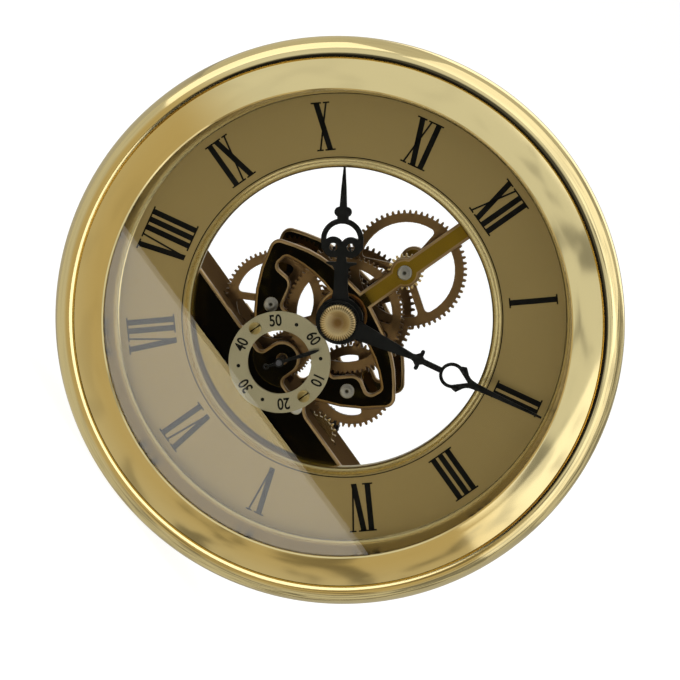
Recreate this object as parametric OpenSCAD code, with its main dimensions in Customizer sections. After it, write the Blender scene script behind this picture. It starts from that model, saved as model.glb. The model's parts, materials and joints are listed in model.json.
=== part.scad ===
// Skeleton clock insert: a polished bezel with a chapter ring round a battery movement that is open to view.
// The front faces -Y and twelve o'clock is +Z. The hands turn about Y, and the bezel's rear face is at Y = 0.
// Inside the modules x is to the right, y is up and z comes to the viewer, and upright() stands a piece up.
// Directions on the dial are degrees clockwise from twelve.

/* [Case] */
// Diameter of the barrel that goes into the hole of a stand
barrel_d = 130; // [127:0.5:140]
// Depth of the barrel behind the bezel's rear face
barrel_depth = 38; // [37:0.5:60]
// Wall of the barrel
barrel_wall = 1.2; // [1:0.1:1.8]
// Width of the bezel's flange outside the barrel
flange_w = 10; // [8:0.5:14]
// Height of the bezel in front of its rear face
bezel_h = 13.3; // [13:0.1:18]
// Width of the rolled lip at the bezel's rim
lip_w = 9.6; // [8:0.1:11]
// Height of the rolled lip from its lowest to its highest line
lip_h = 9.2; // [8:0.1:10]
// Width of the fine groove between the lip and the sloping band
groove_w = 0.5; // [0.3:0.05:0.8]
// How far the bezel's inner lip covers the edge of the glass
glass_cover = 1.5; // [1:0.1:2.5]
// Thickness of the bezel's inner lip in front of the glass
inner_lip_t = 0.9; // [0.6:0.1:1.4]
// Thickness of the glass
glass_t = 1.4; // [1:0.1:1.6]

/* [Dial] */
// Depth of the dial's face behind the bezel's rear face
dial_drop = 2; // [1.6:0.1:3]
// Thickness of the dial
dial_t = 0.8; // [0.5:0.1:1.2]
// Radius of the hole in the dial
dial_hole_r = 40.9; // [40:0.1:43]
// Width of the sloping ring between glass and dial, at the dial
rehaut_w = 3.4; // [2.6:0.1:4.5]
// Wall of the bead that trims the dial's hole
bead_wall = 1; // [0.8:0.1:1.4]
// How far the bead lies over the dial
bead_cover = 1.1; // [0.8:0.1:2]
// Height of the bead over the dial
bead_h = 0.9; // [0.6:0.1:1.4]
// Thickness of the carrier ring behind the dial
carrier_t = 2.8; // [2.4:0.1:4]

/* [Plates] */
// Thickness of the two movement plates
plate_t = 1.8; // [1.4:0.1:2.4]
// Free depth between the two plates
plate_gap = 26.2; // [26:0.1:32]
// Width of the plate's arm to twelve
arm_w = 4.96; // [4:0.1:6]
// Radius of the round eye in the arm
eye_r = 3.85; // [3.2:0.1:5]
// Radius of the hub disc that carries the hands' bearing
hub_r = 7.2; // [6.6:0.1:7.4]
// Radius of the raised boss on the hub
boss_r = 5.6; // [4.5:0.1:6.4]
// Height of the raised boss on the hub
boss_h = 1.2; // [0.8:0.1:2]
// Radius of the lobe that carries the seconds arbor
lobe_r = 4.7; // [4:0.1:5.5]
// Gap between the base segment at the bottom of the plates and the barrel
base_gap = 2.6; // [2.4:0.1:4.8]
// Height of the base's top edge below the clock axis
base_drop = 23.75; // [23.4:0.05:25]
// Wall of the base housing
base_wall = 1.6; // [1.2:0.1:2]
// Wall at the top of the base housing
base_top_wall = 1.4; // [1.1:0.1:1.6]

/* [Train] */
// Distance from the clock axis to the motion axle, the idler axle and the seconds arbor
arbor_reach = 20; // [20:0.1:21]
// Direction of the setting idler from the clock axis
idler_angle = 122.7; // [120:0.1:125]
// Distance from the clock axis to the third arbor
third_reach = 19.38; // [19.2:0.01:19.8]
// Direction of the third arbor from the clock axis
third_angle = 224.16; // [223:0.01:226]
// Distance from the seconds arbor down to the intermediate arbor
motor_reach = 7.14; // [7:0.01:7.3]
// Distance from the intermediate arbor to the rotor
rotor_reach = 6.6; // [6.4:0.05:6.8]
// Direction of the rotor from the intermediate arbor
rotor_angle = 112; // [108:1:116]
// Distance from the setting idler to the setting stem
stem_reach = 16.5; // [16:0.1:17]
// Direction of the setting stem from the setting idler
stem_angle = 163; // [160:1:166]
// Depth of the hour wheel's middle behind the front plate
hour_layer = 1.6; // [1.4:0.1:2]
// Depth from the hour wheel to the minute wheel
minute_step = 4.1; // [3.8:0.1:4.6]
// Depth from the minute wheel to the third wheel
third_step = 2.4; // [2.2:0.1:2.8]
// Depth from the third wheel to the setting wheels
setting_step = 2.5; // [2.3:0.1:2.9]
// Depth from the setting wheels to the centre wheel
centre_step = 3.4; // [3.2:0.1:3.8]
// Depth from the centre wheel to the motor wheel
motor_step = 3.7; // [3.5:0.1:4]
// Thickness of the large wheels
wheel_t = 1.2; // [0.9:0.1:1.3]
// Thickness of the fine wheels near the motor
fine_wheel_t = 1; // [0.8:0.1:1.1]
// How far a pinion stands out on each side of its wheel
pinion_over = 0.3; // [0.2:0.05:0.4]
// Width of the rim of a wheel
rim_w = 2.3; // [1.6:0.1:2.8]
// Width of a wheel's spokes
spoke_w = 1.9; // [1.4:0.1:2.6]
// Radius of the curve where a spoke meets the rim or the hub
spoke_curve = 1.1; // [0.6:0.1:1.4]

/* [Teeth] */
// Teeth of the cannon pinion on the centre arbor
cannon_teeth = 18; // [16:1:20]
// Teeth of the minute wheel
minute_teeth = 63; // [60:1:66]
// Teeth of the minute pinion
minute_pinion_teeth = 21; // [19:1:23]
// Teeth of the hour wheel
hour_teeth = 72; // [69:1:75]
// Teeth of the seconds pinion, the intermediate pinion, the third pinion and the rotor pinion
small_teeth = 8; // [7:1:9]
// Teeth of the third wheel
third_teeth = 60; // [56:1:64]
// Teeth of the centre wheel
centre_teeth = 64; // [60:1:68]
// Teeth of the seconds wheel
seconds_teeth = 40; // [36:1:44]
// Teeth of the intermediate wheel
motor_teeth = 48; // [44:1:52]
// Teeth of the setting gear on the centre arbor
setting_teeth = 36; // [34:1:38]
// Teeth of the setting idler
idler_teeth = 44; // [42:1:46]
// Teeth of the setting stem's pinion
stem_teeth = 22; // [20:1:24]

/* [Arbors and fits] */
// Radius of the centre arbor
centre_arbor_r = 1; // [0.9:0.05:1.2]
// Radius of the fixed axles
axle_r = 1; // [0.8:0.05:1.1]
// Radius of the seconds arbor
seconds_arbor_r = 0.8; // [0.6:0.05:0.9]
// Radius of the motor's thin arbors
motor_arbor_r = 0.45; // [0.35:0.05:0.5]
// Wall of the hour pipe
pipe_wall = 1.15; // [0.8:0.05:1.3]
// Radius of the tubes that carry the wheels
hub_tube_r = 1.8; // [1.6:0.05:2.1]
// Radius of the brass spacers
spacer_r = 1.6; // [1.4:0.05:1.7]
// Gap on the radius of a running fit
run_gap = 0.05; // [0.03:0.01:0.08]
// Gap on the radius of a pressed or clamped fit
press_gap = 0.02; // [0.01:0.01:0.04]
// Gap on the radius between the stacked parts of the case
case_gap = 0.2; // [0.1:0.05:0.3]
// Radius of the silver screw heads
screw_head_r = 1.95; // [1.6:0.05:2.2]
// Height of the silver screw heads
screw_head_h = 0.8; // [0.5:0.05:1]

/* [Hands] */
// Direction of the hour hand at the time that is shown
hour_rest = 307.5; // [0:0.5:359.5]
// Direction of the minute hand
minute_rest = 60.5; // [0:0.5:359.5]
// Direction of the seconds hand
seconds_rest = 17.7; // [0:0.1:359.9]
// Thickness of the hour and minute hands
hand_t = 0.5; // [0.3:0.05:0.6]
// Length of the hour hand
hour_len = 40.7; // [38:0.1:44]
// How far the minute hand's tip stays short of the dial's edge
minute_short = 4.7; // [4.4:0.1:13]
// Length of the seconds hand
seconds_len = 11.06; // [10:0.1:12]
// Height of the hour hand over the bezel's rear face
hour_hand_z = 4.4; // [4:0.1:4.8]
// Height from the hour hand to the minute hand
hand_step = 2.2; // [1.8:0.1:2.4]
// Height of the seconds hand over the seconds ring
seconds_hand_lift = 1; // [0.9:0.1:1.3]
// Radius of the knurled nut that holds the hands
nut_r = 4.8; // [4:0.1:5.4]
// Height of the knurled nut
nut_h = 3; // [2.4:0.1:3.1]
// Ridges round the knurled nut
nut_ridges = 42; // [36:1:48]

/* [Seconds ring] */
// Outer radius of the seconds ring
ring_r = 13.5; // [13:0.1:13.9]
// Radius of the hole in the seconds ring
ring_hole_r = 8.4; // [8:0.1:9]
// Thickness of the seconds ring
ring_t = 0.8; // [0.6:0.1:1]
// Height of the seconds ring over the front plate
ring_lift = 5.8; // [5.4:0.1:6.2]
// Distance of the ring's two posts from its middle
post_reach = 11; // [10.8:0.05:11.2]
// Radius of the ring's posts
post_r = 1.5; // [1.2:0.05:1.7]

/* [Motor and battery] */
// Diameter of the battery
battery_d = 14.5; // [14:0.1:14.5]
// Length of the battery
battery_len = 50.5; // [49:0.1:50.5]
// Radius of the rotor's magnet
magnet_r = 2.2; // [1.8:0.1:2.4]
// Radius of the coil
coil_r = 2.6; // [2.2:0.1:2.8]
// Length of the coil
coil_len = 17; // [14:0.5:18]
// Thickness of the stator
stator_t = 1.2; // [0.8:0.1:1.4]
// Radius of the setting stem
stem_r = 1.2; // [1:0.05:1.4]
// Radius of the setting knob
knob_r = 5; // [4:0.1:5.2]
// Length of the setting knob
knob_h = 4.5; // [3.5:0.1:6]

/* [Hidden] */
$fn = 64;

// Colours of the pieces
gold = [0.83, 0.70, 0.42];
satin_gold = [0.62, 0.53, 0.33];
bronze = [0.35, 0.26, 0.12];
copper = [0.42, 0.26, 0.13];
brass = [0.72, 0.57, 0.30];
steel = [0.66, 0.67, 0.68];
hand_black = [0.07, 0.07, 0.07];
dark_plastic = [0.14, 0.13, 0.12];

// Radii of the case, from the barrel inwards
barrel_r = barrel_d / 2;
barrel_bore_r = barrel_r - barrel_wall;
spigot_wall = 0.5;
spigot_r = barrel_bore_r + spigot_wall;
spigot_h = 2.5;
base_r = barrel_bore_r - base_gap;
bezel_r = barrel_r + flange_w;
bezel_bore_r = barrel_bore_r - case_gap;
dial_r = bezel_bore_r - case_gap;
glass_bore_r = bezel_bore_r - 0.5;
glass_r = glass_bore_r - case_gap;
window_r = glass_r - glass_cover;
groove_r = bezel_r - lip_w / 2 - 0.8;
rehaut_foot_r = dial_r - rehaut_w - 0.5;

// Levels of the case, with the bezel's rear face at 0
glass_z = bezel_h - inner_lip_t - glass_t;
dial_z = -dial_drop;
dial_back_z = dial_z - dial_t;
plate_z = dial_back_z - carrier_t;
plate_back_z = plate_z - plate_t;
rear_plate_z = plate_back_z - plate_gap;
rear_back_z = rear_plate_z - plate_t;
ledge_w = 1.8;
ledge_t = 1.2;
bead_gap = 0.1;
bead_r = dial_hole_r - bead_gap;
bead_hole_r = bead_r - bead_wall;
carrier_hole_r = dial_hole_r + 0.1;

// Middles of the layers of wheels
hour_z = plate_back_z - hour_layer;
minute_z = hour_z - minute_step;
third_z = minute_z - third_step;
setting_z = third_z - setting_step;
centre_z = setting_z - centre_step;
motor_z = centre_z - motor_step;

// A point at a distance from the origin in a direction clockwise from twelve
function at(angle, reach) = [reach * sin(angle), reach * cos(angle)];
// The direction of one point from another, clockwise from twelve
function heading(a, b) = atan2(b[0] - a[0], b[1] - a[1]);

// Places of the arbors
centre_at = [0, 0];
motion_at = at(0, arbor_reach);
idler_at = at(idler_angle, arbor_reach);
seconds_at = at(180, arbor_reach);
third_at = at(third_angle, third_reach);
motor_at = seconds_at + at(180, motor_reach);
rotor_at = motor_at + at(rotor_angle, rotor_reach);
stem_at = idler_at + at(stem_angle, stem_reach);
axles = [motion_at, third_at, idler_at];

// Size of the teeth of a pair of wheels from their distance
function tooth_size(reach, n1, n2) = 2 * reach / (n1 + n2);
motion_size = tooth_size(arbor_reach, cannon_teeth, minute_teeth);
hour_size = tooth_size(arbor_reach, minute_pinion_teeth, hour_teeth);
third_size = tooth_size(norm(third_at - seconds_at), small_teeth, third_teeth);
centre_size = tooth_size(third_reach, small_teeth, centre_teeth);
seconds_size = tooth_size(motor_reach, small_teeth, seconds_teeth);
motor_size = tooth_size(rotor_reach, small_teeth, motor_teeth);
setting_size = tooth_size(arbor_reach, setting_teeth, idler_teeth);
stem_size = tooth_size(stem_reach, idler_teeth, stem_teeth);

// Form of a tooth: share of the pitch at the pitch line and at the tip, height and depth in tooth sizes
pinion_form = [0.36, 0.16, 0.7, 1.15];
wheel_form = [0.42, 0.20, 0.8, 1.05];
root_spread = 1.25;

// Corners of a toothed outline with n teeth, one of them in the direction turn
function toothed(n, size, form, turn) =
    let (pitch_r = size * n / 2, root_r = pitch_r - form[3] * size, tip_r = pitch_r + form[2] * size,
        corners = [[root_r, -root_spread * form[0]], [pitch_r, -form[0]], [tip_r, -form[1]],
            [tip_r, form[1]], [pitch_r, form[0]], [root_r, root_spread * form[0]]])
    [for (i = [0:n - 1], c = corners) at(turn + (360 * i + 180 * c[1]) / n, c[0])];

// Direction of a tooth of the second wheel when it meshes with the first, whose tooth is at turn1
function meshed(n1, turn1, n2, way) = way + 180 + 180 / n2 - (turn1 - way) * n1 / n2;

cannon_turn = 0;
minute_turn = meshed(cannon_teeth, cannon_turn, minute_teeth, 0);
minute_pinion_turn = 0;
hour_turn = meshed(minute_pinion_teeth, minute_pinion_turn, hour_teeth, 180);
third_pinion_turn = 0;
centre_turn = meshed(small_teeth, third_pinion_turn, centre_teeth, heading(third_at, centre_at));
third_turn = 0;
seconds_pinion_turn = meshed(third_teeth, third_turn, small_teeth, heading(third_at, seconds_at));
seconds_turn = 0;
motor_pinion_turn = meshed(seconds_teeth, seconds_turn, small_teeth, 180);
motor_turn = 0;
rotor_turn = meshed(motor_teeth, motor_turn, small_teeth, rotor_angle);
setting_turn = 0;
idler_turn = meshed(setting_teeth, setting_turn, idler_teeth, idler_angle);
stem_turn = meshed(idler_teeth, idler_turn, stem_teeth, stem_angle);

// Points of an arc from direction a to direction b
function arc(centre, r, a, b, steps) = [for (k = [0:steps]) centre + r * [cos(a + (b - a) * k / steps),
    sin(a + (b - a) * k / steps)]];
function unit(v) = v / norm(v);
function flat(p) = [p[0], p[1]];
// A corner b between the points a and c, rounded to its radius b[2]
function rounded(a, b, c) =
    let (u = unit(flat(a) - flat(b)), v = unit(flat(c) - flat(b)), half = acos(u * v) / 2,
        centre = flat(b) + unit(u + v) * b[2] / sin(half),
        from = flat(b) + u * b[2] / tan(half) - centre, to = flat(b) + v * b[2] / tan(half) - centre,
        start = atan2(from[1], from[0]), turn = atan2(to[1], to[0]) - start,
        sweep = turn > 180 ? turn - 360 : turn < -180 ? turn + 360 : turn)
    b[2] == 0 ? [flat(b)] : arc(centre, b[2], start, start + sweep, max(2, ceil(abs(sweep) / 9)));
// An outline whose corners [x, y, radius] are rounded
function outline(p) = let (n = len(p))
    [for (i = [0:n - 1]) each rounded(p[(i + n - 1) % n], p[i], p[(i + 1) % n])];
// A right half, from top to bottom, with its mirror image
function both(half) = concat(half, [for (i = [len(half) - 1:-1:0]) [-half[i][0], half[i][1], half[i][2]]]);

// A point reflected in the line through the origin in direction a
function reflected(p, a) = [p[0] * cos(2 * a) + p[1] * sin(2 * a), p[0] * sin(2 * a) - p[1] * cos(2 * a)];

// Corners of the window between two spokes: one half from its middle to a spoke and back, then the other half
function window(inner_r, outer_r, spokes) =
    let (side = spoke_w / 2, c = min(spoke_curve, (outer_r - inner_r) / 3), off = side + c,
        inner_y = sqrt(pow(inner_r + c, 2) - off * off), outer_y = sqrt(pow(outer_r - c, 2) - off * off),
        inner_a = atan2(inner_y, off), outer_a = atan2(outer_y, off), middle = 90 - 180 / spokes,
        half = concat(arc([0, 0], inner_r, middle, inner_a, 3), arc([off, inner_y], c, inner_a + 180, 180, 3),
            arc([off, outer_y], c, 180, outer_a, 4), arc([0, 0], outer_r, outer_a, middle, 6)))
    concat(half, [for (i = [len(half) - 2:-1:1]) reflected(half[i], middle)]);

module upright() {
    rotate([90, 0, 0]) children();
}

// A flat piece from level low to level high
module slab(low, high) {
    translate([0, 0, low]) linear_extrude(high - low) children();
}

// A round bar or tube at a place, from level low to level high
module bar(place, r, low, high) {
    translate([place[0], place[1], low]) cylinder(r = r, h = high - low);
}

module tube(place, r, bore, low, high) {
    difference() {
        bar(place, r, low, high);
        bar(place, bore, low - 1, high + 1);
    }
}

// The windows between the spokes of a wheel
module windows(inner_r, outer_r, spokes, turn) {
    for (i = [0:spokes - 1]) rotate(-turn - 360 * i / spokes) polygon(window(inner_r, outer_r, spokes));
}

// A wheel with a toothed rim, spokes and a hub with a bore
module wheel(place, z, t, n, size, form, turn, bore, hub, spokes, spoke_turn) {
    root_r = size * n / 2 - form[3] * size;
    translate([place[0], place[1], 0]) slab(z - t / 2, z + t / 2) difference() {
        polygon(toothed(n, size, form, turn));
        windows(hub, root_r - rim_w, spokes, spoke_turn);
        circle(r = bore);
    }
}

// A small wheel without spokes
module pinion(place, z, t, n, size, turn, bore = 0) {
    translate([place[0], place[1], 0]) slab(z - t / 2, z + t / 2) difference() {
        polygon(toothed(n, size, pinion_form, turn));
        if (bore > 0) circle(r = bore);
    }
}

// A strip with round ends between two places
module strap(a, b, r) {
    side = unit([b[1] - a[1], a[0] - b[0]]) * r;
    polygon([a + side, b + side, b - side, a - side]);
    translate(a) circle(r = r);
    translate(b) circle(r = r);
}

// The barrel stands in a shallow recess of the bezel, and a fit gap keeps it off the recess's wall
recess_h = 0.4;
recess_gap = 0.1;

// The bezel's section: flange, rolled lip, groove, sloping band, inner lip and glass seat
lip_r = bezel_r - lip_w / 2;
lip_z = 6.8;
lip_under = 52;
lip_over = 94;
flange_inset = 2;
band_z = 11.1;
module bezel() {
    lip_steps = 24;
    lip = [for (k = [0:lip_steps]) let (a = -lip_under + (lip_under + lip_over) * k / lip_steps)
        [lip_r + lip_w / 2 * cos(a), lip_z + lip_h / 2 * sin(a)]];
    groove = [[groove_r + groove_w, band_z + 0.1], [groove_r + groove_w / 2, band_z - 0.5],
        [groove_r, band_z]];
    crown = [for (k = [1:6]) let (s = k / 6, rise = 1.2 * s - 0.2 * s * s)
        [groove_r - (groove_r - window_r - 1) * s, band_z + (bezel_h - 0.15 - band_z) * rise]];
    lip_edge = [[window_r + 0.5, bezel_h], [window_r + 0.1, bezel_h - 0.15], [window_r, bezel_h - 0.45],
        [window_r, glass_z + glass_t], [glass_bore_r, glass_z + glass_t], [glass_bore_r, glass_z]];
    seat = [[bezel_bore_r, glass_z], [bezel_bore_r, spigot_h], [spigot_r + case_gap / 2, spigot_h],
        [spigot_r + case_gap / 2, recess_h], [barrel_r + recess_gap, recess_h], [barrel_r + recess_gap, 0]];
    rear = [[bezel_r - flange_inset, 0]];
    color(gold) upright() rotate_extrude($fn = 180) polygon(concat(rear, lip, groove, crown, lip_edge, seat));
}

module lens() {
    color([0.8, 0.87, 0.9, 0.25]) upright() translate([0, 0, glass_z])
        cylinder(r = glass_r, h = glass_t, $fn = 180);
}

// The sloping ring keeps the glass in its seat and the dial on its carrier
module rehaut_ring() {
    foot_h = 0.6;
    color(gold) upright() rotate_extrude($fn = 180) polygon([[dial_r, dial_z], [dial_r, glass_z],
        [window_r, glass_z], [dial_r - rehaut_w, dial_z + foot_h], [rehaut_foot_r, dial_z + foot_h - 0.15],
        [rehaut_foot_r, dial_z]]);
}

module dial() {
    color(satin_gold) upright() slab(dial_back_z, dial_z) difference() {
        circle(r = dial_r, $fn = 180);
        circle(r = dial_hole_r, $fn = 180);
    }
}

module dial_bead() {
    foot = 0.3;
    top = dial_z + bead_h;
    crest = bead_hole_r + 0.8;
    edge = dial_hole_r + bead_cover;
    color(gold) upright() rotate_extrude($fn = 180) polygon([[bead_hole_r, plate_z + foot],
        [bead_r, plate_z + foot], [bead_r, dial_z], [edge, dial_z], [edge, dial_z + 0.2],
        [edge - 0.5, dial_z + 0.35], [crest + 0.4, top - 0.12], [crest, top],
        [crest - 0.4, top - 0.1], [bead_hole_r + 0.1, top - 0.4], [bead_hole_r, top - 0.7]]);
}

// Screws from behind hold the front plate to the carrier ring: one at the arm, two in the base
carrier_screw_r = 0.9;
arm_screw = [0, carrier_hole_r + 2.8];
base_screw_x = 38;
base_screw_drop = 9.25;
carrier_screws_at = [arm_screw, [base_screw_x, -base_drop - base_screw_drop],
    [-base_screw_x, -base_drop - base_screw_drop]];
screw_bite = 2.2;

module carrier_ring() {
    color(dark_plastic) upright() difference() {
        slab(plate_z, dial_back_z) difference() {
            circle(r = dial_r, $fn = 180);
            circle(r = carrier_hole_r, $fn = 180);
        }
        for (p = carrier_screws_at) bar(p, carrier_screw_r + press_gap, plate_z - 1, plate_z + screw_bite);
    }
}

module carrier_screws() {
    color(steel) upright() for (p = carrier_screws_at) {
        bar(p, carrier_screw_r, plate_back_z - 0.1, plate_z + screw_bite - 0.1);
        bar(p, 2 * carrier_screw_r, plate_back_z - 1, plate_back_z);
    }
}

module barrel() {
    spigot_top = spigot_h - 0.2;
    rear_chamfer = 0.4;
    front_chamfer = 0.3;
    ledge_r = barrel_bore_r - ledge_w;
    color(gold) upright() rotate_extrude($fn = 180) polygon([[barrel_bore_r, -barrel_depth],
        [barrel_r - rear_chamfer, -barrel_depth], [barrel_r, -barrel_depth + rear_chamfer], [barrel_r, 0],
        [barrel_r - front_chamfer, recess_h], [spigot_r, recess_h], [spigot_r, spigot_top],
        [barrel_bore_r, spigot_top], [barrel_bore_r, plate_z], [ledge_r, plate_z],
        [ledge_r, plate_z - ledge_t], [barrel_bore_r, plate_z - ledge_t]]);
}

// Outline of the plates: the right half from the arm's end down to the base
shoulder_y = 7.3;
leg_x = 8.9;
leg_foot = 14.2;
leg_curve = 4.2;
left_foot = 12.9;
function shoulder_half() = [[arm_w / 2, shoulder_y, 3.4], [16.7, 5.1, 30], [27.5, -2.9, 2.6], [22, -13.3, 40],
    [12.6, -20.3, 1.2]];
// Outline of the opening between the legs: its right half
function opening_half() = [[14, 0.9, 30], [21.6, -3.2, 1.3], [21.2, -7.1, 1.5], [15, -5.7, 3.2],
    [11.4, -12, 1.2], [leg_x, -11.2, 0.8], [leg_x, -base_drop, 1.5], [lobe_r, -base_drop, 1.5],
    [lobe_r, -base_drop + 1.6, 0]];

// The body of a plate, from the shoulders to the feet, without its arm
module plate_body(foot_y, right_foot_x, right_foot_r) {
    half = shoulder_half();
    corners = concat(half, [[right_foot_x, foot_y, right_foot_r], [right_foot_x + 8, foot_y, 0],
        [right_foot_x + 8, foot_y - 1, 0], [-left_foot - 8, foot_y - 1, 0], [-left_foot - 8, foot_y, 0],
        [-left_foot, foot_y, 0.8]], [for (i = [len(half) - 1:-1:0]) [-half[i][0], half[i][1], half[i][2]]]);
    polygon(outline(corners));
}

module plate_opening() {
    difference() {
        polygon(outline(both(opening_half())));
        circle(r = hub_r);
        translate(seconds_at) circle(r = lobe_r);
        translate([-lobe_r, -base_drop]) square([2 * lobe_r, base_drop - arbor_reach]);
    }
}

// The flat segment below the top edge of the base
module base_segment(r, top) {
    difference() {
        circle(r = r, $fn = 180);
        translate([-r - 1, top]) square([2 * r + 2, 2 * r]);
    }
}

// Screws that hold the housing, from the front and from the rear
front_screws_at = [[12.8, -base_drop - 0.9], [-7.8, -base_drop - 4.1]];
rear_screws_at = [[12.6, -base_drop - 1.5], [-12.6, -base_drop - 1.5]];
housing_screw_r = 0.8;
rear_foot = 3.4;
rear_foot_x = leg_foot + 2.4;

module front_plate() {
    arm_end = arm_screw[1] + 2.4;
    color(bronze) upright() difference() {
        union() {
            slab(plate_back_z, plate_z) {
                difference() {
                    union() {
                        plate_body(-base_drop, leg_foot, leg_curve);
                        base_segment(base_r, -base_drop);
                    }
                    plate_opening();
                }
                translate([-arm_w / 2, shoulder_y - 5]) square([arm_w, arm_end - shoulder_y + 5]);
                translate(motion_at) circle(r = eye_r);
            }
            bar(centre_at, boss_r, plate_z - 0.1, plate_z + boss_h);
        }
        bar(centre_at, pipe_r + run_gap, plate_back_z - 1, plate_z + boss_h + 1);
        bar(seconds_at, seconds_arbor_r + run_gap, plate_back_z - 1, plate_z + 1);
        for (p = axles) bar(p, axle_r + press_gap, plate_back_z - 1, plate_z + 1);
        for (p = carrier_screws_at) bar(p, carrier_screw_r + press_gap, plate_back_z - 1, plate_z + 1);
        for (p = front_screws_at) bar(p, housing_screw_r + press_gap, plate_back_z - 1, plate_z + 1);
    }
}

module rear_plate() {
    rear_boss_h = 0.8;
    color(bronze) upright() difference() {
        union() {
            slab(rear_back_z, rear_plate_z) {
                difference() {
                    intersection() {
                        plate_body(-base_drop, leg_foot, leg_curve);
                        translate([-base_r, -base_drop]) square(2 * base_r);
                    }
                    plate_opening();
                }
                translate([-rear_foot_x, -base_drop - rear_foot]) square([2 * rear_foot_x, rear_foot]);
                translate([-arm_w / 2, shoulder_y - 5]) square([arm_w, arbor_reach - shoulder_y + 5]);
                translate(motion_at) circle(r = eye_r);
            }
            bar(centre_at, boss_r, rear_back_z - rear_boss_h, rear_back_z + 0.1);
        }
        bar(centre_at, centre_arbor_r + run_gap, rear_back_z - rear_boss_h - 1, rear_plate_z + 1);
        bar(seconds_at, motor_arbor_r + run_gap, rear_back_z - 1, rear_plate_z + 1);
        for (p = axles) bar(p, axle_r + press_gap, rear_back_z - 1, rear_plate_z + 1);
        for (p = rear_screws_at) bar(p, housing_screw_r + press_gap, rear_back_z - 1, rear_plate_z + 1);
    }
}

// The battery lies across the bottom of the base, in a bay that is open at the rear
battery_r = battery_d / 2;
bay_gap = 0.3;
bay_wall = 1.2;
bay_end = 1.75;
battery_drop = sqrt(pow(base_r - base_wall - 0.5, 2) - pow(battery_len / 2, 2)) - battery_r;
battery_z = rear_plate_z + battery_r + 0.5;
bay_floor_z = battery_z + battery_r + bay_gap;
back_wall_z = rear_plate_z + base_wall;
bay_half = battery_len / 2 + bay_end;
bay_top = -battery_drop + battery_r + bay_gap;
bay_bottom = -battery_drop - battery_r - bay_gap;

module bay(grow, low, high) {
    slab(low, high) intersection() {
        base_segment(base_r - base_wall + grow, -base_drop);
        translate([-bay_half - grow, bay_bottom - grow])
            square([2 * (bay_half + grow), bay_top - bay_bottom + 2 * grow]);
    }
}

// Half the width of a wheel where it dips into the top of the base
function dip(place, r) = sqrt(max(0, r * r - pow(base_drop + place[1], 2)));
module wheel_slot(place, r, low, high) {
    half = dip(place, r) + 0.8;
    translate([place[0] - half, -base_drop - base_top_wall - 1, low])
        cube([2 * half, base_top_wall + 2, high - low]);
}
third_tip_r = third_size * (third_teeth / 2 + wheel_form[2]);
seconds_tip_r = seconds_size * (seconds_teeth / 2 + wheel_form[2]);
stem_tip_r = stem_size * (stem_teeth / 2 + pinion_form[2]);
motor_tip_r = motor_size * (motor_teeth / 2 + wheel_form[2]);
motor_slot_r = max(seconds_tip_r, motor_tip_r);
slot_side = 0.7;
third_slot = fine_wheel_t / 2 + slot_side;
stem_slot = wheel_t / 2 + slot_side;
motor_slot_low = motor_z - fine_wheel_t / 2 - slot_side;
motor_slot_high = setting_z + wheel_t / 2 + pinion_over + slot_side;

// The motor's plate stands on two posts beside the rotor
post_side = 6.4;
post_drops = [-0.4, 3.3];
post_x = rotor_at[0] + post_side;
motor_posts_at = [for (drop = post_drops) [post_x, rotor_at[1] - drop]];
motor_post_r = 1.5;
stator_z = centre_z - 0.6;
core_t = 1;
core_w = 2;
side_gap = 0.3;
pivot_floor = 0.5;

// The circuit board lies left of the motor, over the bay and beside the housing's round wall
board_w = 27;
board_h = 9.4;
board_lift = 2.6;
board_side = 5.8;
board_over_bay = 0.5;
post_inset = [3, 1.9];
board_z = back_wall_z + board_lift;
board_low = bay_top + bay_wall + board_over_bay;
board_left = board_side - sqrt(pow(base_r - base_wall, 2) - board_low * board_low);
board_at = [board_left, board_low];
board_posts_at = [board_at + [post_inset[0], board_h - post_inset[1]],
    board_at + [board_w - post_inset[0], post_inset[1]]];

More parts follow.
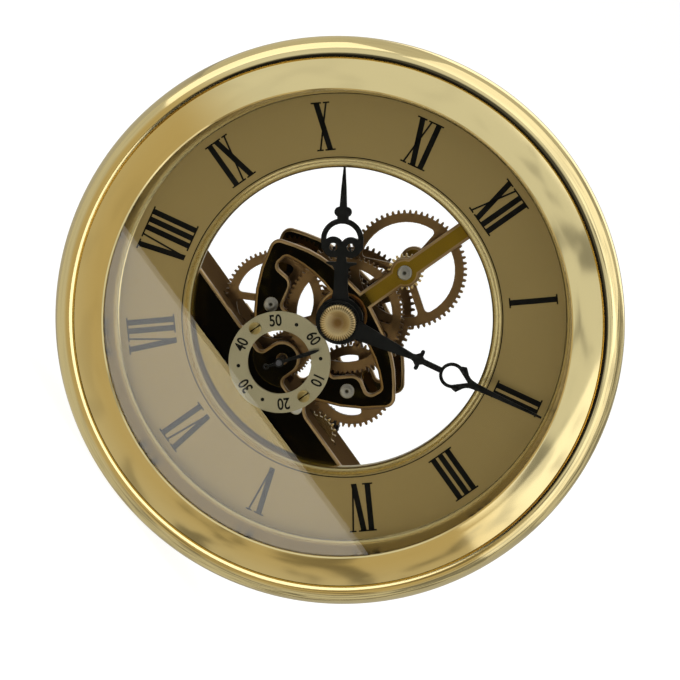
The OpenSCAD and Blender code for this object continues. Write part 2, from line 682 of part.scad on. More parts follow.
module base_housing() {
    boss_len = 5;
    screw_depth = boss_len - 0.5;
    screw_bore_r = housing_screw_r + press_gap;
    pivot_post_r = 1.5;
    pivot_top = motor_z - fine_wheel_t / 2 - pinion_over - side_gap;
    stem_post_top = stator_z - stator_t - core_t - side_gap;
    color(dark_plastic) upright() difference() {
        union() {
            difference() {
                slab(rear_plate_z, plate_back_z) base_segment(base_r, -base_drop);
                slab(back_wall_z, plate_back_z + 1)
                    base_segment(base_r - base_wall, -base_drop - base_top_wall);
            }
            bay(bay_wall, rear_plate_z, bay_floor_z + bay_wall);
            for (p = front_screws_at) {
                bar(p, screw_head_r, plate_back_z - boss_len, plate_back_z);
                translate([p[0] - screw_head_r, p[1], plate_back_z - boss_len])
                    cube([2 * screw_head_r, -base_drop - p[1], boss_len]);
            }
            for (p = rear_screws_at) {
                bar(p, screw_head_r, rear_plate_z, rear_plate_z + boss_len);
                translate([p[0] - screw_head_r, p[1], rear_plate_z])
                    cube([2 * screw_head_r, -base_drop - p[1], boss_len]);
            }
            for (p = [motor_at, rotor_at]) bar(p, pivot_post_r, rear_plate_z, pivot_top);
            bar(stem_at, stem_r + 0.8, rear_plate_z, stem_post_top);
            for (p = motor_posts_at) bar(p, motor_post_r, rear_plate_z, stator_z - stator_t);
            for (p = board_posts_at) bar(p, motor_post_r, rear_plate_z, board_z);
        }
        bay(0, rear_plate_z - 1, bay_floor_z);
        wheel_slot(third_at, third_tip_r, third_z - third_slot, third_z + third_slot);
        wheel_slot([0, -base_drop], motor_slot_r, motor_slot_low, motor_slot_high);
        wheel_slot(stem_at, stem_tip_r, setting_z - stem_slot, setting_z + stem_slot);
        for (p = [motor_at, rotor_at])
            bar(p, motor_arbor_r + run_gap, rear_plate_z + pivot_floor, plate_back_z);
        bar(stem_at, stem_r + run_gap, rear_plate_z - 1, plate_back_z - 1);
        for (p = front_screws_at) bar(p, screw_bore_r, plate_back_z - screw_depth, plate_back_z + 1);
        for (p = rear_screws_at) bar(p, screw_bore_r, rear_plate_z - 1, rear_plate_z + screw_depth);
    }
}

// A screw head with a small dimple in its crown
module screw_head(place, r, low, high) {
    translate([place[0], place[1], 0]) rotate_extrude() polygon([[0, low], [r, low], [r, high - 0.25],
        [r - 0.25, high - 0.08], [r * 0.45, high], [r * 0.2, high - 0.02], [0, high - 0.3]]);
}

module housing_screws() {
    bite = 4;
    color(steel) upright() {
        for (p = front_screws_at) {
            bar(p, housing_screw_r, plate_back_z - bite, plate_z + 0.1);
            screw_head(p, screw_head_r * 0.85, plate_z, plate_z + screw_head_h);
        }
        for (p = rear_screws_at) {
            bar(p, housing_screw_r, rear_back_z - 0.1, rear_plate_z + bite);
            bar(p, screw_head_r * 0.85, rear_back_z - screw_head_h, rear_back_z);
        }
    }
}

// The fixed axles run from silver heads on the front plate to nuts behind the rear plate
nut_t = 1.6;
module axle_screws() {
    color(steel) upright() for (p = axles) {
        bar(p, axle_r, rear_back_z - nut_t - 0.3, plate_z + 0.1);
        screw_head(p, screw_head_r, plate_z, plate_z + screw_head_h);
    }
}

module axle_nuts() {
    color(steel) upright() for (p = axles) difference() {
        translate([p[0], p[1], rear_back_z - nut_t]) cylinder(r = 2.5 * axle_r, h = nut_t, $fn = 6);
        bar(p, axle_r + press_gap, rear_back_z - nut_t - 1, rear_back_z + 1);
    }
}

// Levels of the running pieces on the fixed axles, front and rear
end_gap = 0.15;
motion_front_z = hour_z + wheel_t / 2 + pinion_over;
motion_rear_z = minute_z - wheel_t / 2;
third_front_z = third_z + fine_wheel_t / 2;
third_rear_z = centre_z - wheel_t / 2 - pinion_over;
idler_front_z = setting_z + wheel_t / 2 + 0.5;
idler_rear_z = setting_z - wheel_t / 2 - 0.5;
axle_levels = [[motion_front_z, motion_rear_z], [third_front_z, third_rear_z], [idler_front_z, idler_rear_z]];

module axle_spacers() {
    color(brass) upright() for (i = [0:2]) {
        tube(axles[i], spacer_r, axle_r + press_gap, axle_levels[i][0] + end_gap, plate_back_z);
        tube(axles[i], spacer_r, axle_r + press_gap, rear_plate_z, axle_levels[i][1] - end_gap);
    }
}

// Centre arbor: cannon pinion, setting gear, friction spring, minute hand and nut turn with it
pipe_bore = centre_arbor_r + run_gap;
pipe_r = pipe_bore + pipe_wall;
minute_hand_z = hour_hand_z + hand_step;
minute_len = dial_r - minute_short;
nut_z = minute_hand_z + hand_t;
collar_r = 2.2;
collar_t = 0.9;
setting_hub_r = 2.4;
spring_t = 0.5;
centre_front_z = centre_z + wheel_t / 2;
centre_rear_z = centre_z - wheel_t / 2;
setting_rear_z = centre_front_z + spring_t + press_gap;

module centre_arbor() {
    color(steel) upright() {
        bar(centre_at, centre_arbor_r, rear_back_z - 1, nut_z + nut_h - 1.4);
        bar(centre_at, collar_r, centre_rear_z - run_gap - collar_t, centre_rear_z - run_gap);
    }
}

cannon_front_z = hour_z - wheel_t / 2 - 0.3;
module cannon_pinion() {
    color(brass) upright() {
        pinion(centre_at, minute_z, wheel_t + 2 * pinion_over, cannon_teeth, motion_size, cannon_turn,
            centre_arbor_r + press_gap);
        tube(centre_at, hub_tube_r, centre_arbor_r + press_gap, minute_z, cannon_front_z);
    }
}

module setting_gear() {
    color(copper) upright() {
        wheel(centre_at, setting_z, wheel_t, setting_teeth, setting_size, pinion_form, setting_turn,
            centre_arbor_r + press_gap, hub = 3.4, spokes = 3, spoke_turn = 30);
        tube(centre_at, setting_hub_r, centre_arbor_r + press_gap, setting_rear_z, setting_z);
    }
}

// The dished washer lets the centre arbor slip in the centre wheel when the hands are set
module friction_spring() {
    bore = centre_arbor_r + press_gap;
    foot_r = 3.4;
    rim_r = 3.6;
    washer_t = 0.25;
    low = spring_t - washer_t;
    high = spring_t - press_gap;
    color(brass) upright() translate([0, 0, centre_front_z + press_gap]) rotate_extrude()
        polygon([[bore, low], [setting_hub_r, low], [foot_r, 0], [rim_r, 0], [rim_r, washer_t],
            [setting_hub_r, high], [bore, high]]);
}

// The minute hand: a tapered blade, a cross bar, a stem, a drop-shaped loop with spurs and a long tip
loop_u = 32.8;
loop_r = 3.36;
loop_hole_r = 2.5;
loop_point = 37.4;
bar_u = 23.4;
bar_half = 2.82;
bar_r = 0.55;
minute_hub_r = 5.5;

// The drop: a circle with the two lines from it to a point
module drop(u, r, point) {
    lean = acos(r / (point - u));
    translate([0, u]) circle(r = r);
    polygon([[r * sin(lean), u + r * cos(lean)], [0, point], [-r * sin(lean), u + r * cos(lean)], [0, u]]);
}

function tip_half() = [[0.76, loop_u - 2], [3.3, loop_u + 1], [3.15, loop_u + 1.2], [3.4, loop_u + 1.9],
    [3.6, loop_u + 2.7], [2.9, loop_u + 3.3], [1.9, loop_u + 4.1], [1.4, loop_u + 4.8], [1.1, loop_u + 5.6],
    [0.9, loop_u + 7.1], [0.65, loop_u + 11.7]];
function mirrored(half) = concat(half, [for (i = [len(half) - 1:-1:0]) [-half[i][0], half[i][1]]]);

module minute_shape() {
    difference() {
        union() {
            circle(r = minute_hub_r);
            polygon(mirrored([[2.9, 1], [2.45, 6], [0.8, bar_u - 2.2], [1.0, bar_u - 1.4], [1.8, bar_u - 0.5],
                [0.95, bar_u + 0.9], [0.76, bar_u + 1.2], [0.76, loop_u - loop_r + 0.5]]));
            strap([-bar_half + bar_r, bar_u], [bar_half - bar_r, bar_u], bar_r);
            translate([0, loop_u]) circle(r = loop_r);
            polygon(mirrored(concat(tip_half(), [[0.28, minute_len]])));
        }
        drop(loop_u, loop_hole_r, loop_point);
        circle(r = centre_arbor_r + press_gap);
    }
}

module minute_hand() {
    bush_r = 2.4;
    bush_h = hand_step - hand_t - 0.3;
    color(hand_black) upright() rotate(-minute_rest) {
        slab(minute_hand_z, minute_hand_z + hand_t) minute_shape();
        tube(centre_at, bush_r, centre_arbor_r + press_gap, minute_hand_z - bush_h, minute_hand_z);
    }
}

module hand_nut() {
    ridge = 0.25;
    knurl = [for (i = [0:nut_ridges - 1], k = [0, 1])
        at((2 * i + k) * 180 / nut_ridges, nut_r - ridge * k)];
    color(gold) upright() difference() {
        intersection() {
            slab(nut_z, nut_z + nut_h) polygon(knurl);
            translate([0, 0, nut_z]) rotate_extrude() polygon([[0, 0], [nut_r - 0.6, 0], [nut_r + 0.2, 0.6],
                [nut_r + 0.2, nut_h - 0.7], [nut_r - 0.6, nut_h - 0.1], [nut_r - 1.3, nut_h], [0, nut_h]]);
        }
        translate([0, 0, nut_z + nut_h - 0.45]) cylinder(r1 = 1.6, r2 = nut_r - 1.4, h = 0.5);
        bar(centre_at, centre_arbor_r + press_gap, nut_z - 1, nut_z + nut_h - 1.2);
    }
}

// The hour wheel and the hour hand sit on the hour pipe, which turns in the front plate
module hour_wheel() {
    color(copper) upright() wheel(centre_at, hour_z, wheel_t, hour_teeth, hour_size, wheel_form, hour_turn,
        pipe_r + press_gap, hub = 4.4, spokes = 3, spoke_turn = 52);
}

module hour_pipe() {
    color(brass) upright() {
        tube(centre_at, pipe_r, pipe_bore, hour_z - wheel_t / 2, hour_hand_z + hand_t + 0.1);
        tube(centre_at, 3.6, pipe_r - 0.1, hour_z + wheel_t / 2, plate_back_z - 0.3);
    }
}

// The hour hand: a wide stem, two spurs, a pair of scrolls inside a ring, a double ball and a tapered tip
hour_hub_r = 6.3;
hour_loop_u = 21.4;
hour_loop_r = 5.6;
hour_loop_hole_r = 4.2;
hour_ball_u = 28.7;
scroll_u = 19.4;
scroll_v = 2.3;
scroll_r = 2.75;
scroll_hole_r = 1.05;
spur_u = 15.2;

module hour_shape() {
    stem_half = 1.85;
    curl_v = scroll_v - 0.25;
    difference() {
        union() {
            circle(r = hour_hub_r);
            polygon(mirrored([[2.6, 4], [stem_half, 8.5], [stem_half, spur_u - 1.6],
                [2.4, spur_u - 0.8], [4, spur_u - 0.2], [4, spur_u + 0.25], [1.4, spur_u + 0.35],
                [1.1, spur_u + 2], [1.1, scroll_u]]));
            difference() {
                translate([0, hour_loop_u]) circle(r = hour_loop_r);
                translate([0, hour_loop_u]) circle(r = hour_loop_hole_r);
                translate([-hour_loop_r, spur_u]) square([2 * hour_loop_r, scroll_u - spur_u - 0.6]);
            }
            for (side = [-1, 1]) translate([side * scroll_v, scroll_u]) circle(r = scroll_r);
            for (side = [-1, 1]) translate([side * (scroll_v + 1.6), scroll_u + 0.4]) circle(r = 1.7);
            for (side = [-1, 1]) translate([side * 0.95, hour_ball_u]) circle(r = 1.35);
            polygon(mirrored([[1.5, hour_ball_u - 2.6], [1.5, hour_ball_u - 1], [1, hour_ball_u + 1],
                [0.7, hour_ball_u + 6.3], [0.27, hour_len]]));
        }
        for (side = [-1, 1]) difference() {
            translate([side * scroll_v, scroll_u]) circle(r = scroll_hole_r);
            translate([side * curl_v, scroll_u - 0.25]) circle(r = 0.42);
            strap([side * curl_v, scroll_u - 0.25], [side * (scroll_v + 0.1), scroll_u - 1.3], 0.25);
        }
        circle(r = pipe_r + press_gap);
    }
}

module hour_hand() {
    bush_r = 3.1;
    bush_h = 1.2;
    color(hand_black) upright() rotate(-hour_rest) {
        slab(hour_hand_z, hour_hand_z + hand_t) hour_shape();
        tube(centre_at, bush_r, pipe_r + press_gap, hour_hand_z - bush_h, hour_hand_z);
    }
}

// The minute wheel and its pinion turn together on the axle in the arm's eye
module minute_wheel() {
    color(copper) upright() wheel(motion_at, minute_z, wheel_t, minute_teeth, motion_size, wheel_form,
        minute_turn, hub_tube_r + press_gap, hub = 3.4, spokes = 3, spoke_turn = -13);
}

module minute_pinion() {
    color(brass) upright() {
        pinion(motion_at, hour_z, wheel_t + 2 * pinion_over, minute_pinion_teeth, hour_size,
            minute_pinion_turn, axle_r + run_gap);
        tube(motion_at, hub_tube_r, axle_r + run_gap, motion_rear_z, hour_z);
    }
}

// The seconds arbor turns in the front plate's lobe and the rear plate
seconds_ring_z = plate_z + ring_lift;
seconds_hand_z = seconds_ring_z + ring_t + seconds_hand_lift;
thin_hand_t = 0.4;
module seconds_arbor() {
    color(steel) upright() {
        bar(seconds_at, seconds_arbor_r, setting_z - wheel_t, seconds_hand_z + thin_hand_t + 0.3);
        bar(seconds_at, motor_arbor_r, rear_back_z - 0.5, setting_z - wheel_t + 0.1);
    }
}

module seconds_pinion() {
    color(brass) upright() pinion(seconds_at, third_z, fine_wheel_t + 2 * pinion_over, small_teeth,
        third_size, seconds_pinion_turn, seconds_arbor_r + press_gap);
}

module seconds_wheel() {
    color(copper) upright() wheel(seconds_at, setting_z, wheel_t, seconds_teeth, seconds_size, wheel_form,
        seconds_turn, seconds_arbor_r + press_gap, hub = 1.7, spokes = 3, spoke_turn = 0);
}

module seconds_shape() {
    tail = 3.7;
    difference() {
        union() {
            circle(r = 1.25);
            polygon(mirrored([[0.3, -tail + 0.4], [0.38, 0], [0.42, 3.5], [0.52, 6], [0.55, 8], [0.4, 10],
                [0.15, seconds_len]]));
            translate([0, -tail]) circle(r = 0.8);
        }
        translate([0, -tail]) circle(r = 0.35, $fn = 24);
        circle(r = seconds_arbor_r + press_gap);
    }
}

module seconds_hand() {
    bush_h = 0.8;
    color(hand_black) upright() translate(seconds_at) rotate(-seconds_rest) {
        slab(seconds_hand_z, seconds_hand_z + thin_hand_t) seconds_shape();
        tube(centre_at, 1.25, seconds_arbor_r + press_gap, seconds_hand_z - bush_h, seconds_hand_z);
    }
}

module third_wheel() {
    color(copper) upright() wheel(third_at, third_z, fine_wheel_t, third_teeth, third_size, wheel_form,
        third_turn, hub_tube_r + press_gap, hub = 3.2, spokes = 3, spoke_turn = 223);
}

module third_pinion() {
    color(brass) upright() {
        pinion(third_at, centre_z, wheel_t + 2 * pinion_over, small_teeth, centre_size, third_pinion_turn,
            axle_r + run_gap);
        tube(third_at, hub_tube_r, axle_r + run_gap, centre_z + wheel_t / 2 + pinion_over, third_front_z);
    }
}

module centre_wheel() {
    color(copper) upright() wheel(centre_at, centre_z, wheel_t, centre_teeth, centre_size, wheel_form,
        centre_turn, centre_arbor_r + run_gap, hub = 4.2, spokes = 4, spoke_turn = 20);
}

module intermediate_wheel() {
    color(copper) upright() wheel(motor_at, motor_z, fine_wheel_t, motor_teeth, motor_size, wheel_form,
        motor_turn, motor_arbor_r + press_gap, hub = 1.4, spokes = 3, spoke_turn = 60);
}

bridge_z = setting_z + wheel_t / 2 + pinion_over + 0.5;
bridge_t = 1;
pivot_low = rear_plate_z + pivot_floor + 0.2;
module intermediate_pinion() {
    color(steel) upright() {
        pinion(motor_at, setting_z, wheel_t + 2 * pinion_over, small_teeth, seconds_size, motor_pinion_turn);
        bar(motor_at, motor_arbor_r, pivot_low, bridge_z + bridge_t);
    }
}

module rotor_magnet() {
    magnet_t = 2.6;
    color([0.3, 0.3, 0.32]) upright() tube(rotor_at, magnet_r, motor_arbor_r + press_gap,
        stator_z - stator_t / 2 - magnet_t / 2, stator_z - stator_t / 2 + magnet_t / 2);
}

module rotor_pinion() {
    color(steel) upright() {
        pinion(rotor_at, motor_z, fine_wheel_t + 2 * pinion_over, small_teeth, motor_size, rotor_turn);
        bar(rotor_at, motor_arbor_r, pivot_low, bridge_z + bridge_t);
    }
}

// Setting work: a knob at the rear turns the hands through the idler
module setting_idler() {
    color(copper) upright() {
        wheel(idler_at, setting_z, wheel_t, idler_teeth, setting_size, wheel_form, idler_turn,
            axle_r + run_gap, hub = 3.2, spokes = 3, spoke_turn = 96);
        for (side = [-1, 1]) tube(idler_at, hub_tube_r, axle_r + run_gap,
            side > 0 ? setting_z : idler_rear_z, side > 0 ? idler_front_z : setting_z);
    }
}

module setting_stem() {
    knob_bite = 3;
    color(steel) upright() bar(stem_at, stem_r, knob_z - knob_bite, setting_z + wheel_t);
}

module stem_pinion() {
    color(brass) upright() pinion(stem_at, setting_z, wheel_t, stem_teeth, stem_size, stem_turn,
        stem_r + press_gap);
}

knob_gap = 0.6;
knob_z = rear_back_z - knob_gap;
module setting_knob() {
    ridges = 30;
    ridge = 0.3;
    bore_len = 3.2;
    knurl = [for (i = [0:ridges - 1], k = [0, 1])
        stem_at + at((2 * i + k) * 180 / ridges, knob_r - ridge * k)];
    color(dark_plastic) upright() difference() {
        union() {
            slab(knob_z - knob_h, knob_z - 1) polygon(knurl);
            bar(stem_at, knob_r - 1, knob_z - 1.5, knob_z);
        }
        bar(stem_at, stem_r + press_gap, knob_z - bore_len, knob_z + 1);
    }
}

// The seconds ring stands on two posts of the front plate
posts_at = [for (side = [-1, 1]) seconds_at + [side * post_reach, 0]];
ring_screw_r = 0.8;
ring_screw_len = 2.6;
module seconds_ring() {
    color([0.78, 0.73, 0.55]) upright() slab(seconds_ring_z, seconds_ring_z + ring_t) difference() {
        translate(seconds_at) circle(r = ring_r, $fn = 120);
        translate(seconds_at) circle(r = ring_hole_r, $fn = 120);
        for (p = posts_at) translate(p) circle(r = ring_screw_r + press_gap);
    }
}

module ring_posts() {
    color(brass) upright() for (p = posts_at) difference() {
        bar(p, post_r, plate_z, seconds_ring_z);
        bar(p, ring_screw_r + press_gap, seconds_ring_z - ring_screw_len - end_gap, seconds_ring_z + 1);
    }
}

module ring_screws() {
    head_r = 1.65;
    head_h = 0.55;
    slot = 0.35;
    top = seconds_ring_z + ring_t;
    color(brass) upright() for (p = posts_at) difference() {
        union() {
            bar(p, ring_screw_r, seconds_ring_z - ring_screw_len, top + 0.1);
            bar(p, head_r, top, top + head_h);
        }
        translate([p[0] - slot / 2, p[1] - 2, top + head_h - 0.3]) cube([slot, 4, 1]);
    }
}

// The stepping motor: rotor, stator, coil and the bridge that carries the front pivots
coil_side = 3.2;
coil_drop = 3.1;
coil_lap = 1.5;
coil_flange = 0.8;
window_gap = 0.5;
coil_x = post_x + coil_side;
coil_y = rotor_at[1] - coil_drop;

module motor_bridge() {
    strap_r = 1.6;
    color(brass) upright() difference() {
        union() {
            slab(bridge_z, bridge_z + bridge_t) {
                strap(motor_at, motor_posts_at[1], strap_r);
                strap(rotor_at, motor_posts_at[0], strap_r);
                strap(motor_posts_at[0], motor_posts_at[1], strap_r);
            }
            for (p = motor_posts_at) bar(p, 1.2, stator_z, bridge_z + 0.1);
        }
        for (p = [motor_at, rotor_at]) bar(p, motor_arbor_r + run_gap, bridge_z - 1, bridge_z + bridge_t + 1);
    }
}

// The stator's plate has the rotor's hole and two feet, and the coil's core bridges the feet
module stator() {
    gap = 0.4;
    pole_w = 1.3;
    strip_w = 1.2;
    foot_w = 2.5;
    foot_drop = 2.1;
    end = coil_x + coil_len + 2 * coil_flange + window_gap;
    half = coil_r + window_gap;
    color(steel) upright() slab(stator_z - stator_t, stator_z) difference() {
        union() {
            translate(rotor_at) circle(r = magnet_r + gap + pole_w);
            translate([rotor_at[0], coil_y - foot_drop])
                square([end + foot_w - rotor_at[0], foot_drop + half + strip_w]);
        }
        translate(rotor_at) circle(r = magnet_r + gap);
        translate([coil_x - window_gap, coil_y - half]) square([end - coil_x + window_gap, 2 * half]);
    }
}

module coil_core() {
    end = coil_x + coil_len + 2 * coil_flange;
    color(steel) upright() slab(stator_z - stator_t - core_t, stator_z - stator_t)
        translate([coil_x - coil_lap, coil_y - core_w / 2]) square([end - coil_x + 2 * coil_lap, core_w]);
}

// The winding between two square cheeks, with the core's slot through it
module coil_winding() {
    axis_z = stator_z - stator_t - core_t / 2;
    color([0.55, 0.25, 0.1]) upright() difference() {
        union() {
            translate([coil_x + coil_flange, coil_y, axis_z]) rotate([0, 90, 0])
                cylinder(r = coil_r - 0.3, h = coil_len);
            for (x = [coil_x, coil_x + coil_flange + coil_len])
                translate([x, coil_y - coil_r, axis_z - coil_r]) cube([coil_flange, 2 * coil_r, 2 * coil_r]);
        }
        translate([coil_x - 1, coil_y - core_w / 2 - run_gap, axis_z - core_t / 2 - run_gap])
            cube([coil_len + 4, core_w + 2 * run_gap, core_t + 2 * run_gap]);
    }
}

// The board with its chip and its crystal can
module circuit_board() {
    board_t = 1;
    chip_at = [7, 2];
    chip_w = 5;
    chip_t = 1.2;
    can_at = [15, 6];
    can_r = 1;
    can_len = 6;
    top = board_z + board_t;
    color([0.1, 0.3, 0.16]) upright() translate(board_at) {
        slab(board_z, top) square([board_w, board_h]);
        slab(top, top + chip_t) translate(chip_at) square(chip_w);
        translate([can_at[0], can_at[1], top + can_r]) rotate([0, 90, 0]) cylinder(r = can_r, h = can_len);
    }
}

module battery() {
    nub_r = 2.7;
    nub_h = 1.2;
    color([0.2, 0.22, 0.25]) upright()
        translate([-battery_len / 2, -battery_drop, battery_z]) rotate([0, 90, 0]) {
            cylinder(r = battery_r, h = battery_len - nub_h);
            cylinder(r = nub_r, h = battery_len);
        }
}

// Bent strips between the battery's ends and the ends of the bay
module battery_contacts() {
    strip = 0.4;
    strip_w = 9;
    low = battery_z - battery_r + 1.5;
    color(steel) upright() for (side = [-1, 1]) mirror([side > 0 ? 0 : 1, 0, 0])
        translate([battery_len / 2, -battery_drop - strip_w / 2, 0]) {
            translate([0, 0, low]) cube([strip, strip_w, bay_floor_z - low]);
            translate([0, 0, bay_floor_z - strip]) cube([bay_end, strip_w, strip]);
            translate([bay_end - strip, 0, low]) cube([strip, strip_w, bay_floor_z - low]);
        }
}

bezel();
lens();
rehaut_ring();
dial();
dial_bead();
carrier_ring();
carrier_screws();
barrel();
front_plate();
rear_plate();
base_housing();
housing_screws();
axle_screws();
axle_spacers();
axle_nuts();
centre_arbor();
cannon_pinion();
setting_gear();
friction_spring();
minute_hand();
hand_nut();
hour_wheel();
hour_pipe();
hour_hand();
minute_wheel();
minute_pinion();
seconds_arbor();
seconds_pinion();
seconds_wheel();
seconds_hand();
third_wheel();
third_pinion();
centre_wheel();
intermediate_wheel();
intermediate_pinion();
rotor_magnet();
rotor_pinion();
setting_idler();
setting_stem();
stem_pinion();
setting_knob();
seconds_ring();
ring_posts();
ring_screws();
motor_bridge();
stator();
coil_core();
coil_winding();
circuit_board();
battery();
battery_contacts();
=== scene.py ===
# %% [markdown]
# # Dressing a skeleton clock insert
#
# The clock arrives as solids made in a CAD program: a gold bezel, a chapter ring, two skeleton plates and a
# train of wheels. This lesson gives those solids their finishes, rounds the edges that catch the light, prints
# the numerals, and lights the clock the way a product photographer would. Every length is in metres. The front
# of the clock faces -Y, twelve o'clock is +Z, and three o'clock is +X.

# %% Load the clock as a fixed frame
import json
import math
import bpy
from mathutils import Matrix, Vector


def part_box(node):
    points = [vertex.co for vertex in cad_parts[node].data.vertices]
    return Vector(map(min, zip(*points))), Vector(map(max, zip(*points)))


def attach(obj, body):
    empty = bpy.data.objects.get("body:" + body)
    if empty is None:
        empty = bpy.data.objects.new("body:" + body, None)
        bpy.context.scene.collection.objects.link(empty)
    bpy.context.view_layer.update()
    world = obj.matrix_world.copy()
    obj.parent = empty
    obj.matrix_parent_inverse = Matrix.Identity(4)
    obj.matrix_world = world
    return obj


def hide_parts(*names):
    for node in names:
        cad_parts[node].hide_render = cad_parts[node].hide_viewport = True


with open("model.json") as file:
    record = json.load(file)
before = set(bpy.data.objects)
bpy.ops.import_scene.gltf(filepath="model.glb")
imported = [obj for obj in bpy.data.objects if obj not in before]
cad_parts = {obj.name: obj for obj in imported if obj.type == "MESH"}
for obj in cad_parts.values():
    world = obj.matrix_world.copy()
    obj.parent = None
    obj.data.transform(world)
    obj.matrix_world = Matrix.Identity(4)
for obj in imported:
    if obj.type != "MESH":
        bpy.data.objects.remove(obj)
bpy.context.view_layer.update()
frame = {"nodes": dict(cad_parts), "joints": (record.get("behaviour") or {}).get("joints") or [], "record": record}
nodes = frame["nodes"]
MM = 0.001
clock_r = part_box("bezel")[1].x
dial_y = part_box("dial")[0].y
ring_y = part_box("seconds_ring")[0].y
seconds_centre_z = (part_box("seconds_ring")[0].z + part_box("seconds_ring")[1].z) / 2
print("the bezel's radius is", round(clock_r / MM, 2), "mm, and the clock has", len(nodes), "solids")

# %% [markdown]
# ## The camera
#
# The photograph was taken with a long lens, a little above the clock's axis and a little to its left, and then
# turned so that twelve o'clock points to the upper right. A camera is easiest to place from such angles: the
# direction from the clock gives its place, and the direction that is up in the picture gives its roll.

# %% Place and roll the camera
camera_distance = 1.6
camera_rise = math.radians(8.6)
camera_left = math.radians(2.6)
twelve_turn = math.radians(54.4)
sensor_width = 36.0
picture_width = 680
millimetres_a_pixel = 0.2622
rim_centre = (338.95, 321.3)

picture_up = Vector((-math.sin(twelve_turn), 0, math.cos(twelve_turn)))
picture_right = Vector((math.cos(twelve_turn), 0, math.sin(twelve_turn)))
aim_right = (picture_width / 2 - rim_centre[0]) * millimetres_a_pixel * MM
aim_down = (picture_width / 2 - rim_centre[1]) * millimetres_a_pixel * MM
rim_y = -6.8 * MM
aim = Vector((0, rim_y, 0)) + picture_right * aim_right - picture_up * aim_down
away = Vector((-math.sin(camera_left) * math.cos(camera_rise),
               -math.cos(camera_left) * math.cos(camera_rise), math.sin(camera_rise)))
camera_data = bpy.data.cameras.new("photo_camera")
camera = bpy.data.objects.new("photo_camera", camera_data)
bpy.context.scene.collection.objects.link(camera)
camera_data.sensor_width = sensor_width
camera_data.lens = camera_distance * sensor_width / (picture_width * millimetres_a_pixel * MM)
camera_data.clip_end = 20
camera.location = aim + away * camera_distance
back = away.normalized()
side = picture_up.cross(back).normalized()
up = back.cross(side)
camera.rotation_euler = Matrix((side, up, back)).transposed().to_euler()
bpy.context.scene.camera = camera
bpy.context.scene.view_settings.view_transform = "Standard"
print("the lens is", round(camera_data.lens, 1), "mm long at", camera_distance, "m")

# %% [markdown]
# ## Helpers for modelling by hand
#
# An operator works on everything that is selected, so each helper starts by clearing the selection. In edit mode
# the faces are picked in code, by where they lie. A finished piece has its place in its mesh, so its object is
# moved back to the origin at the end.

# %% Select, pick faces, and finish a piece
same_place = 0.002 * MM


def clear_selection():
    for other in bpy.context.selected_objects:
        other.select_set(False)


def make_active(piece):
    clear_selection()
    piece.select_set(True)
    bpy.context.view_layer.objects.active = piece


def edit_all(piece):
    """Enters edit mode with the whole mesh selected."""
    make_active(piece)
    bpy.ops.object.mode_set(mode="EDIT")
    bpy.ops.mesh.select_all(action="SELECT")


def pick(piece, kind, wanted):
    """Selects the faces or the corners for which wanted is true, and leaves edit mode on."""
    bpy.ops.object.mode_set(mode="EDIT")
    bpy.ops.mesh.select_mode(type=kind)
    bpy.ops.mesh.select_all(action="DESELECT")
    bpy.ops.object.mode_set(mode="OBJECT")
    picked = 0
    for element in piece.data.polygons if kind == "FACE" else piece.data.vertices:
        element.select = wanted(element)
        picked += element.select
    bpy.ops.object.mode_set(mode="EDIT")
    return picked


def paint(piece, material):
    piece.data.materials.clear()
    piece.data.materials.append(material)


def settle(piece, name, material, body):
    """Puts the piece's place into its mesh, names it, paints it and lets it ride on a body."""
    make_active(piece)
    bpy.ops.object.transform_apply(location=True, rotation=True, scale=True)
    piece.name = name
    piece.data.name = name
    paint(piece, material)
    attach(piece, body)
    return piece


def merged_copy(node_name, smooth_angle=25):
    """A copy of a solid with its triangles joined, smooth where its faces meet at less than the angle."""
    piece = bpy.data.objects.new(node_name + "_finished", nodes[node_name].data.copy())
    bpy.context.scene.collection.objects.link(piece)
    edit_all(piece)
    bpy.ops.mesh.remove_doubles(threshold=same_place)
    bpy.ops.object.mode_set(mode="OBJECT")
    bpy.ops.object.shade_smooth_by_angle(angle=math.radians(smooth_angle))
    return piece


body_of_node = {n: body for body, members in frame["record"]["behaviour"]["bodies"].items() for n in members}

# %% [markdown]
# ## Two effects that many finishes share
#
# Turned metal carries fine rings round its axis, and everything that is handled carries soft smudges. Both change
# how rough the surface is, and the rings also give a height to bump it. Each is a node group with its own inputs, so
# it is built once and placed in every material with other values. The rings read the distance from an axis through
# the centre of the piece, which a Mapping node moves to the right place.

# %% Turning rings and smudges as node groups
def new_group(name, inputs, outputs):
    group = bpy.data.node_groups.new(name, "ShaderNodeTree")
    for label, kind, value in inputs:
        socket = group.interface.new_socket(label, in_out="INPUT", socket_type=kind)
        if value is not None:
            socket.default_value = value
    for label, kind in outputs:
        group.interface.new_socket(label, in_out="OUTPUT", socket_type=kind)
    return group, group.nodes.new("NodeGroupInput"), group.nodes.new("NodeGroupOutput")


def add_math(tree, operation, first, second=None, third=None):
    node = tree.nodes.new("ShaderNodeMath")
    node.operation = operation
    for index, value in enumerate((first, second, third)):
        if value is None:
            continue
        if isinstance(value, (int, float)):
            node.inputs[index].default_value = value
        else:
            tree.links.new(value, node.inputs[index])
    return node.outputs[0]


def axis_distance(tree, axes):
    """How far a point lies from an axis along Y, from the outputs of a Separate XYZ node."""
    square = add_math(tree, "MULTIPLY", axes["X"], axes["X"])
    square = add_math(tree, "MULTIPLY_ADD", axes["Z"], axes["Z"], square)
    return add_math(tree, "SQRT", square)


def swing_roughness(group, entry, leave, noise):
    """Lets the noise move the roughness up and down by the variation."""
    swing = add_math(group, "SUBTRACT", noise.outputs[0], 0.5)
    rough = add_math(group, "MULTIPLY_ADD", swing, entry.outputs["Variation"], entry.outputs["Roughness"])
    group.links.new(rough, leave.inputs["Roughness"])


